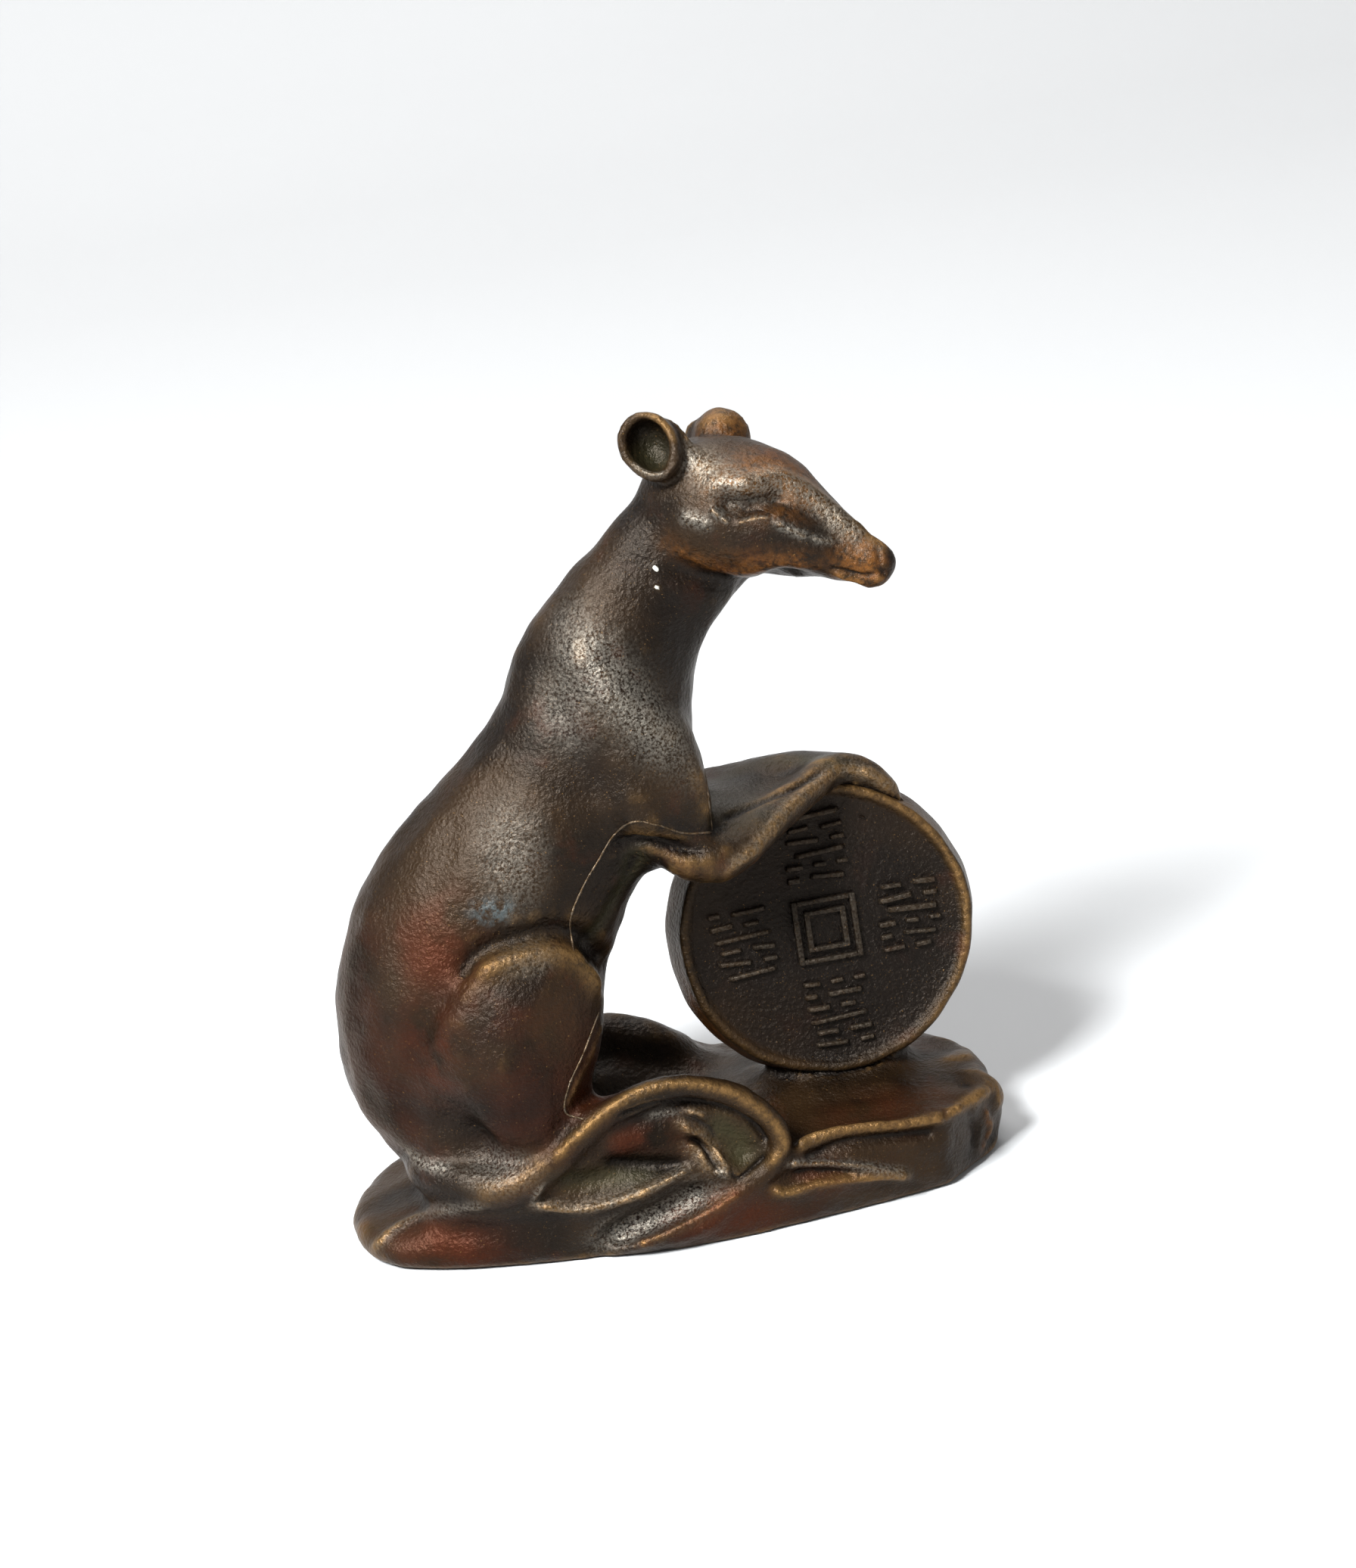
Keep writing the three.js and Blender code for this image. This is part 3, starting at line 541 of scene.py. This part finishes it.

# Broad tones: where a colour lies on the casting, as centre, reach and share, in millimetres; the dark ones are
# painted shade, the light grey ones a painted highlight, the rest patina.
tones = [
    ("rust", (15, -7, 60), (9, 8, 4.5), 0.8), ("rust", (20, -8.5, 52.5), (4.5, 4, 4), 0.9),
    ("rust", (10.5, -8, 53.5), (6, 4, 2.5), 0.7), ("rust", (12, 3, 62), (4, 4, 4), 0.5),
    ("red", (-19, -9, 19), (5, 6, 9), 0.9), ("red", (-14, -12, 14), (6, 5, 9), 0.55),
    ("red", (-20, -9, 2), (9, 6, 5), 0.9), ("red", (2, -13, 2), (12, 4, 4), 0.7),
    ("red", (17, -9, 7.2), (10, 6, 3), 0.45), ("red", (10, -12, 4), (8, 4, 3), 0.6),
    ("red", (-11, -9, 15), (9, 7, 11), 0.85), ("red", (-9, 9, 20), (10, 6, 14), 0.5),
    ("red", (5, 11, 4), (20, 6, 5), 0.6), ("blue", (-12.4, -9.5, 29.8), (3.2, 4, 1.7), 1.0),
    ("red", (-17, -8, 27), (6, 6, 8), 0.8), ("deep", (4, -6, 52), (5, 7, 5), 0.8),
    ("deep", (11, -8, 55.5), (6, 4, 2.6), 0.5), ("deep", (1, -3, 11), (7, 7, 6), 0.9),
    ("deep", (-20, -9, 8), (5, 5, 5), 0.55), ("deep", (8, -7, 50), (8, 5, 3.4), 0.7),
    ("olive", (7, -2, 33), (8, 8, 3), 0.5), ("olive", (5.3, -2.4, 62.4), (2.4, 3, 2.8), 1.0),
    ("painted_sheen", (-5, -7, 46), (5.5, 5, 7), 0.6), ("painted_sheen", (-10.5, -9, 35), (4.5, 6, 8), 0.55),
    ("painted_sheen", (-10, -11, 26.2), (4, 4, 2), 0.5), ("painted_sheen", (-15, -11, 9), (5, 4, 2.5), 0.5),
    ("painted_sheen", (5, -8, 42), (2.5, 4, 4), 0.4),
]
toneNames = ("gold", "rust", "red", "deep", "olive", "painted_sheen", "blue", "pale")


def paint(piece, name, values):
    layer = piece.data.attributes.new(name, "FLOAT", "POINT")
    layer.data.foreach_set("value", np.clip(values, 0, 1).astype(np.float32))


lumps = {"seed": 3, "waves": 36, "lengths": (1.3, 5.5), "height": 0.0034, "roughEnd": 2.2}


def unevenness(co):  # the slight lumps of a hand-finished casting, none on the underside
    chance = np.random.default_rng(lumps["seed"])
    total = np.zeros(len(co))
    for _ in range(lumps["waves"]):
        way = chance.normal(size=3)
        length = chance.uniform(*lumps["lengths"])
        along = co @ (way / np.linalg.norm(way))
        total += lumps["height"] * length * np.sin(along * 2 * math.pi / length + chance.uniform(0, 6.28))
    end = smoothstep(22.5, 24.5, co[:, 0]) * smoothstep(10, 8, co[:, 2])  # the rough end of the base
    return total * smoothstep(0.2, 1.2, co[:, 2]) * (1 + lumps["roughEnd"] * end)


def carve(piece):
    skin = Surface(piece)
    co = places(piece)
    marks = {name: np.zeros(len(co)) for name in toneNames}
    for name, centre, reach, share in tones:
        marks[name] = np.maximum(marks[name], share * spread(co, centre, reach))
    move = np.zeros(len(co))
    for name, width, rise, tonesAndLight, pixels in carving:
        line = skin.line(pixels)
        if len(line) < 2:
            print("no surface under", name)
            continue
        near = np.nonzero(np.all((co > line.min(0) - 4 * width) & (co < line.max(0) + 4 * width), axis=1))[0]
        gap, share = lineDistance(co[near], line)
        length = np.linalg.norm(np.diff(line, axis=0), axis=1).sum()
        ends = smoothstep(0, 1, np.minimum(share, 1 - share) * length / (1.5 * width))
        fade = 0.35 + 0.65 * ends if length > 5 * width else 1.0  # short marks keep their strength to the end
        strength = np.exp(-(gap / width) ** 2)
        move[near] += rise * strength * fade
        for mark, amount in tonesAndLight.items():
            marks[mark][near] = np.maximum(marks[mark][near], amount * np.exp(-(gap / (width * 1.1)) ** 2) * fade)
    setPlaces(piece, co + outward(piece) * (move + unevenness(co))[:, None])
    return marks


def neighbourMean(piece, values, times):  # the mean over the faces round each corner, again and again
    edges = np.empty(len(piece.data.edges) * 2, int)
    piece.data.edges.foreach_get("vertices", edges)
    a, b = edges.reshape(-1, 2).T
    count = np.bincount(a, minlength=len(values)) + np.bincount(b, minlength=len(values))
    for _ in range(times):
        total = [np.bincount(a, v[b], len(v)) + np.bincount(b, v[a], len(v)) for v in values.T]
        values = 0.5 * values + 0.5 * np.array(total).T / count[:, None]
    return values


wearAndShade = {"fineSteps": 8, "broadSteps": 60, "edge": 0.46, "crest": 0.25, "crease": 0.9, "hollow": 0.7,
        "earReach": 3.7, "cupReach": 3.2, "cupShade": 0.3}


def wearShadeFromShape(piece, marks):  # edges that stand out are worn; hollows and creases get painted shade, and near the ear the worn gold is kept only on the rim's lit side as a painted highlight
    co, normals = places(piece), outward(piece)
    off = co - np.array(ears["near"]["centre"])
    fromEar = np.linalg.norm(off, axis=1)
    # painted highlight: on the near ear the gold shows only on the side facing the view's upper right
    lit = 0.15 + 0.85 * smoothstep(0.9, 2.2, off @ np.array(right * 0.65 + above * 0.76))
    kept = (1 - 0.85 * marks["deep"]) * np.where(fromEar < wearAndShade["earReach"], lit, 1)
    fine = np.einsum("ij,ij->i", co - neighbourMean(piece, co, wearAndShade["fineSteps"]), normals)
    broad = np.einsum("ij,ij->i", co - neighbourMean(piece, co, wearAndShade["broadSteps"]), normals)
    worn = wearAndShade["edge"] * smoothstep(0.02, 0.1, fine) + wearAndShade["crest"] * smoothstep(0.15, 0.5, broad)
    # painted shade: creases and broad hollows are darkened, less inside the ear cup
    creaseShade = wearAndShade["crease"] * smoothstep(-0.015, -0.08, fine) + wearAndShade["hollow"] * smoothstep(-0.1, -0.45, broad)
    marks["gold"] = np.maximum(marks["gold"], worn) * kept
    marks["deep"] = np.maximum(marks["deep"], creaseShade) * np.where(fromEar < wearAndShade["cupReach"], wearAndShade["cupShade"], 1)
    for name, values in marks.items():
        paint(piece, name, values)


def sinkCoinFace(piece):  # room for the crisp coin face in front of the casting's own
    co = places(piece)
    off = co - coinCentre
    out = off @ np.array(coinOut)
    inside = (np.hypot(off[:, 0], off @ np.array(coinUp)) < 12.2) & (out > 0.8) & (out < 2.75)
    co[inside] -= coin["sunk"] * np.array(coinOut)
    setPlaces(piece, co)


marks = carve(body)
sinkCoinFace(body)
finishPiece(body, "rat_bronze")
wearShadeFromShape(body, marks)
triangles = sum(len(face.vertices) - 2 for face in body.data.polygons)
applyModifier(body, "DECIMATE", ratio=casting["triangles"] / triangles)
print("casting carved,", len(body.data.polygons), "faces")


class Strand:  # one output of a shader node, written in plain arithmetic
    def __init__(self, tree, socket=None):
        self.tree, self.socket = tree, socket

    def make(self, kind, settings=None, inputs=None, out=0):
        node = self.tree.nodes.new(kind)
        for name, value in (settings or {}).items():
            setattr(node, name, value)
        for name, value in (inputs or {}).items():
            if isinstance(value, Strand):
                self.tree.links.new(value.socket, node.inputs[name])
            else:
                node.inputs[name].default_value = value
        return Strand(self.tree, node.outputs[out] if len(node.outputs) else None)

    def maths(self, operation, first, second=0.0):
        return self.make("ShaderNodeMath", {"operation": operation}, {0: first, 1: second})

    def __add__(self, other): return self.maths("ADD", self, other)
    def __radd__(self, other): return self.maths("ADD", other, self)
    def __sub__(self, other): return self.maths("SUBTRACT", self, other)
    def __rsub__(self, other): return self.maths("SUBTRACT", other, self)
    def __mul__(self, other): return self.maths("MULTIPLY", self, other)
    def __rmul__(self, other): return self.maths("MULTIPLY", other, self)

    def over(self, low, high):  # 0 below low, 1 above high
        return self.make("ShaderNodeMapRange", {"interpolation_type": "SMOOTHSTEP"},
                         {"Value": self, "From Min": low, "From Max": high})

    def blend(self, first, second):  # colours mixed by this mask
        return self.make("ShaderNodeMix", {"data_type": "RGBA"}, {0: self, 6: first, 7: second}, 2)


def newMaterial(name):
    material = bpy.data.materials.new(name)
    material.use_nodes = True
    material.node_tree.nodes.clear()
    return material, Strand(material.node_tree)


# colours of the patina and wear, with a light grey for the painted highlights and a near black for the painted shade
patinaAndLight = {"brown": (0.0145, 0.0072, 0.0027, 1), "dark": (0.003, 0.0016, 0.0008, 1), "red": (0.042, 0.0088, 0.0028, 1),
          "rust": (0.14, 0.05, 0.009, 1), "gold": (0.21, 0.115, 0.04, 1), "olive": (0.024, 0.022, 0.0095, 1),
          "painted_sheen": (0.2, 0.18, 0.15, 1), "black": (0.0015, 0.001, 0.001, 1), "blue": (0.055, 0.073, 0.078, 1),
          "pale": (0.55, 0.53, 0.46, 1)}


bronzeFinish = {"cloudScale": 0.09, "patchScale": 0.22, "speckScale": 1.5, "grainScale": 4.5, "paintedGlintScale": 7.0,
                "pitScale": 2.4, "smoothest": 0.25, "metal": 0.15, "specular": 0.2, "tint": (1.0, 0.84, 0.7, 1),
                "bump": 0.9, "bumpDepth": 0.00016}  # scales in waves to the millimetre


def noise(start, where, scale, detail=3.0, rough=0.55):
    return start.make("ShaderNodeTexNoise", {}, {"Vector": where, "Scale": scale / mm, "Detail": detail,
                                                 "Roughness": rough})


def bronzeMaterial(name):
    material, start = newMaterial(name)
    where = start.make("ShaderNodeTexCoord", out="Object")
    tone = {mark: start.make("ShaderNodeAttribute", {"attribute_name": mark}, out="Fac")
            for mark in toneNames}
    clouds = noise(start, where, bronzeFinish["cloudScale"])
    patches = noise(start, where, bronzeFinish["patchScale"], 4)
    specks = noise(start, where, bronzeFinish["speckScale"], 4, 0.7)
    grain = noise(start, where, bronzeFinish["grainScale"], 3, 0.7)
    colour = clouds.over(0.4, 0.62).blend(patinaAndLight["dark"], patinaAndLight["brown"])
    colour = (patches.over(0.56, 0.74) * 0.35).blend(colour, patinaAndLight["red"])
    colour = (tone["red"] * patches.over(0.3, 0.6)).blend(colour, patinaAndLight["red"])
    colour = (tone["rust"] * specks.over(0.3, 0.65)).blend(colour, patinaAndLight["rust"])
    colour = (tone["olive"] * (0.5 + 0.5 * specks)).blend(colour, patinaAndLight["olive"])
    # painted shade, with some dark patina: the dark mark turns hollows, creases and shaded sides towards black
    colour = (tone["deep"] * 0.9).blend(colour, patinaAndLight["black"])
    # painted highlight: a light grey sheen on the lit crests, brows, shoulder and seams
    colour = (tone["painted_sheen"] * grain.over(0.35, 0.65)).blend(colour, patinaAndLight["painted_sheen"])
    colour = (tone["blue"] * specks.over(0.4, 0.6)).blend(colour, patinaAndLight["blue"])
    worn = tone["gold"] * (0.25 + 0.75 * (specks * 0.7 + grain * 0.3).over(0.36, 0.6))
    colour = (worn * 0.8).blend(colour, patinaAndLight["gold"])
    # painted glints: small specks of gold colour standing in for sparkles of light
    paintedGlint = noise(start, where, bronzeFinish["paintedGlintScale"], 2, 0.6).over(0.68, 0.74)
    colour = (paintedGlint * 0.5).blend(colour, patinaAndLight["gold"])
    colour = tone["pale"].over(0.45, 0.7).blend(colour, patinaAndLight["pale"])
    rough = bronzeFinish["smoothest"] + patches * 0.1 + grain * 0.12
    metal = bronzeFinish["metal"] + tone["painted_sheen"] * 0.65 + worn * 0.5 + tone["red"] * 0.4
    pits = start.make("ShaderNodeTexVoronoi", {"feature": "F1"},
                      {"Vector": where, "Scale": bronzeFinish["pitScale"] / mm})
    height = pits * 0.35 + grain * 0.5 + specks * 0.8
    bump = start.make("ShaderNodeBump", {}, {"Strength": bronzeFinish["bump"], "Height": height,
                                             "Distance": bronzeFinish["bumpDepth"]})
    shader = start.make("ShaderNodeBsdfPrincipled", {}, {
        "Base Color": colour, "Roughness": rough, "Metallic": metal, "Normal": bump,
        "Specular IOR Level": bronzeFinish["specular"], "Specular Tint": bronzeFinish["tint"]})
    start.make("ShaderNodeOutputMaterial", {}, {"Surface": shader})
    return material


bronze = bronzeMaterial("bronze_patina_painted_light")


def dress(piece):  # the bronze on it and the body it rides on
    piece.data.materials.clear()
    piece.data.materials.append(bronze)
    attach(piece, "root")


dress(body)
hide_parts("rat_casting")
print("material made")


# Mould seams left on the casting, painted with a light highlight colour and a little worn gold.
seams = {"radius": 0.085, "spread": (0.7, 1.2), "sink": 0.02, "seed": 11, "tonesAndLight": {"painted_sheen": 0.35, "gold": 0.3},
         "lines": [[(924, 922), (926, 980), (934, 1037), (941, 1097)],
                   [(941, 1100), (904, 1101), (871, 1091), (837, 1086), (811, 1104), (792, 1135), (771, 1171),
                    (754, 1215), (758, 1256)],
                   [(792, 1336), (771, 1392), (752, 1435), (747, 1469), (771, 1479)]]}


def makeSeams(skin):
    chance = np.random.default_rng(seams["seed"])
    threads = []
    for pixels in seams["lines"]:
        line = skin.line(pixels, 10)
        radii = seams["radius"] * chance.uniform(*seams["spread"], len(line))
        radii[[0, -1]] *= 0.4
        threads.append(tubeAlong("seam", line - np.array(ahead) * seams["sink"], radii, 2))
    threads = joined(threads)
    count = len(threads.data.vertices)
    for name in toneNames:
        paint(threads, name, np.full(count, seams["tonesAndLight"].get(name, 0)))
    finishPiece(threads, "mould_seams", 60)
    dress(threads)


makeSeams(Surface(body))
print("seams made")


def layOnCoin(co):  # from across, up and out on the coin to the casting's place
    base = Matrix(((1, 0, 0), tuple(coinUp), tuple(coinOut)))
    return co @ np.array(base) + coinCentre


def makeDisc():  # a round plate drawn out ring by ring along the profile, its rim a little wavy
    deselect()
    radius, height = coin["profile"][0]
    bpy.ops.mesh.primitive_circle_add(vertices=coin["around"], radius=radius * mm, fill_type="TRIFAN")
    disc = bpy.context.object
    setPlaces(disc, places(disc) + np.array([0, 0, height]))
    only(disc)
    bpy.ops.object.mode_set(mode="EDIT")
    bpy.ops.mesh.select_all(action="SELECT")
    bpy.ops.mesh.region_to_loop()
    for (wide, low), (nextWide, high) in zip(coin["profile"], coin["profile"][1:]):
        bpy.ops.mesh.extrude_edges_move(TRANSFORM_OT_translate={"value": (0, 0, (high - low) * mm)})
        bpy.ops.transform.resize(value=(nextWide / wide, nextWide / wide, 1), center_override=(0, 0, 0))
    bpy.ops.mesh.extrude_edges_move()
    bpy.ops.mesh.merge(type="COLLAPSE")
    bpy.ops.mesh.select_all(action="SELECT")
    bpy.ops.mesh.normals_make_consistent(inside=False)
    bpy.ops.object.mode_set(mode="OBJECT")
    co = places(disc)
    angle = np.arctan2(co[:, 1], co[:, 0])
    wobble = sum(size * np.sin(count * angle + start) for count, size, start in coin["waves"])
    outer = smoothstep(10, 12, np.hypot(co[:, 0], co[:, 1]))
    co[:, :2] *= (1 + outer * wobble / 14)[:, None]
    co[:, 2] += outer * 0.5 * wobble * (co[:, 2] > 0)
    co[:, 0] *= coin["broader"]
    setPlaces(disc, co)
    return disc


def makeBar(across, up, wide, high, rise, turn=0.0):  # a bar with rounded edges, its root in the coin's field
    deselect()
    bpy.ops.mesh.primitive_cube_add(size=1)
    bar = bpy.context.object
    root = coin["root"]
    co = places(bar) * mm
    co = co * np.array([wide, high, rise + root]) + np.array([0, 0, (rise - root) / 2])
    co[:, :2] *= np.where(co[:, 2:] > 0, 1 - 0.1 / max(high, 0.3), 1)
    spun = co.copy()
    spun[:, 0] = co[:, 0] * math.cos(turn) - co[:, 1] * math.sin(turn) + across
    spun[:, 1] = co[:, 0] * math.sin(turn) + co[:, 1] * math.cos(turn) + up
    spun[:, 2] += coin["field"]
    setPlaces(bar, spun)
    applyModifier(bar, "BEVEL", width=coin["bevel"] * mm, segments=3, limit_method="ANGLE",
                  angle_limit=math.radians(40))
    return bar


def makeStrokes():  # the square's double frame, four groups of rows of short strokes, and one dash by the rim
    chance = np.random.default_rng(coin["seed"])
    bars = []
    for side in (coin["square"], coin["square"] - 2 * (coin["bar"] + coin["gap"])):
        reach = (side - coin["bar"]) / 2
        for across, up, wide, high in ((0, reach, side, coin["bar"]), (0, -reach, side, coin["bar"]),
                                       (reach, 0, coin["bar"], side), (-reach, 0, coin["bar"], side)):
            bars.append(makeBar(across, up, wide, high, coin["rise"]))
    for group, (x, y) in enumerate(((0, 1), (0, -1), (1, 0), (-1, 0))):
        for row in range(coin["rowCount"]):
            level = coin["groupHigh"] * (0.5 - row / (coin["rowCount"] - 1))
            for low, high in coin["rows"][(row * 2 + group) % len(coin["rows"])]:
                across = x * coin["groupAt"] + (low + high) / 2 * coin["groupWide"]
                up = y * coin["groupAt"] + level * 0.92
                stroke = coin["stroke"] * chance.uniform(0.85, 1.15)
                rise = coin["rise"] * chance.uniform(0.75, 1.1)
                turn = chance.uniform(-coin["turn"], coin["turn"])
                bars.append(makeBar(across, up, (high - low) * coin["groupWide"], stroke, rise, turn))
    bars.append(makeBar(*coin["dash"]))
    return joined(bars)


def makeCoin():
    disc = makeDisc()
    strokes = makeStrokes()
    for piece in (disc, strokes):
        co = places(piece)
        reach = np.hypot(co[:, 0], co[:, 1])
        out = co[:, 2]
        marks = {name: np.zeros(len(co)) for name in toneNames}
        rim = np.exp(-((reach - 11.75) / 0.35) ** 2) * (out > 0)  # worn gold on the rim, with a painted highlight strongest at its upper right
        lit = np.clip(0.3 + 0.7 * np.cos(np.arctan2(co[:, 1], co[:, 0]) - 0.5), 0.15, 1)
        marks["gold"] = 0.78 * rim * lit
        marks["deep"] = 0.9 * smoothstep(11.4, 10.6, reach) * (out > 1.5)
        marks["red"] = 0.35 * smoothstep(1.8, 1.2, out)
        side = smoothstep(11.4, 11.9, reach) * smoothstep(2.3, 1.4, out)
        marks["rust"] = 0.5 * side * smoothstep(2, -8, co[:, 1])
        if piece is strokes:
            # the strokes' sides get painted shade and their tops a faint painted highlight with a little worn gold
            top = smoothstep(coin["field"] + 0.2, coin["field"] + 0.36, out)
            marks["gold"], marks["painted_sheen"], marks["deep"] = top * 0.05, top * 0.1, 0.9 - 0.4 * top
        for name, values in marks.items():
            paint(piece, name, values)
        setPlaces(piece, layOnCoin(co))
    finishPiece(disc, "coin_disc", 50)
    finishPiece(strokes, "coin_strokes", 40)
    dress(disc)
    dress(strokes)


makeCoin()
print("coin made")


# Floor, lights and the pale room round them.
studio = {"floorColour": (0.46, 0.46, 0.46, 1), "floorShade": (0.44, 0.44, 0.44, 1), "floorSize": 6, "nearer": 1000,
          "bendFrom": 450, "bendLength": 400, "world": (0.8, 0.82, 0.85), "worldStrength": 0.4,
          "lights": [("key", (-0.26, -0.27, 0.4), (0, 0, 0.03), 0.14, 10.0, (0.95, 0.98, 1)),
                     ("top", (0.0, 0.75, 0.95), (0, 0.55, 0.0), 0.8, 22.0, (1, 1, 1)),
                     ("fill", (0.5, -0.35, 0.3), (0, 0, 0.03), 0.3, 0.6, (1, 1, 1))]}


def makeFloor():  # a sheet of paper that bends up far behind the figurine
    deselect()
    bpy.ops.mesh.primitive_grid_add(x_subdivisions=8, y_subdivisions=90, size=studio["floorSize"])
    floor = bpy.context.object
    start, length = studio["bendFrom"], studio["bendLength"]
    co = places(floor) - np.array([0, studio["nearer"], 0])
    back = np.clip(co[:, 1] - start, 0, None)
    turn = np.minimum(back, length) / length * math.pi / 2
    radius = length / (math.pi / 2)
    co[:, 2] = radius * (1 - np.cos(turn)) + np.clip(back - length, 0, None)
    co[:, 1] = np.where(back > 0, start + radius * np.sin(turn), co[:, 1])
    setPlaces(floor, co)
    finishPiece(floor, "floor")
    material, strand = newMaterial("floor_paper")
    where = strand.make("ShaderNodeTexCoord", out="Object")
    shade = noise(strand, where, 0.004, 2).blend(studio["floorColour"], studio["floorShade"])
    shader = strand.make("ShaderNodeBsdfPrincipled", {}, {"Base Color": shade, "Roughness": 0.9})
    strand.make("ShaderNodeOutputMaterial", {}, {"Surface": shader})
    floor.data.materials.append(material)


def addLight(name, place, towards, size, watts, colour):
    data = bpy.data.lights.new(name, "AREA")
    data.size, data.energy, data.color = size, watts, colour
    light = bpy.data.objects.new(name, data)
    bpy.context.scene.collection.objects.link(light)
    light.location = place
    light.rotation_euler = (Vector(towards) - Vector(place)).to_track_quat("-Z", "Y").to_euler()


def addWorld():
    world = bpy.data.worlds.new("studio")
    world.use_nodes = True
    backdrop = world.node_tree.nodes["Background"]
    backdrop.inputs["Color"].default_value = (*studio["world"], 1)
    backdrop.inputs["Strength"].default_value = studio["worldStrength"]
    bpy.context.scene.world = world


makeFloor()
addWorld()
for light in studio["lights"]:
    addLight(*light)
bpy.context.scene.view_settings.view_transform = "Standard"
print("studio lit")
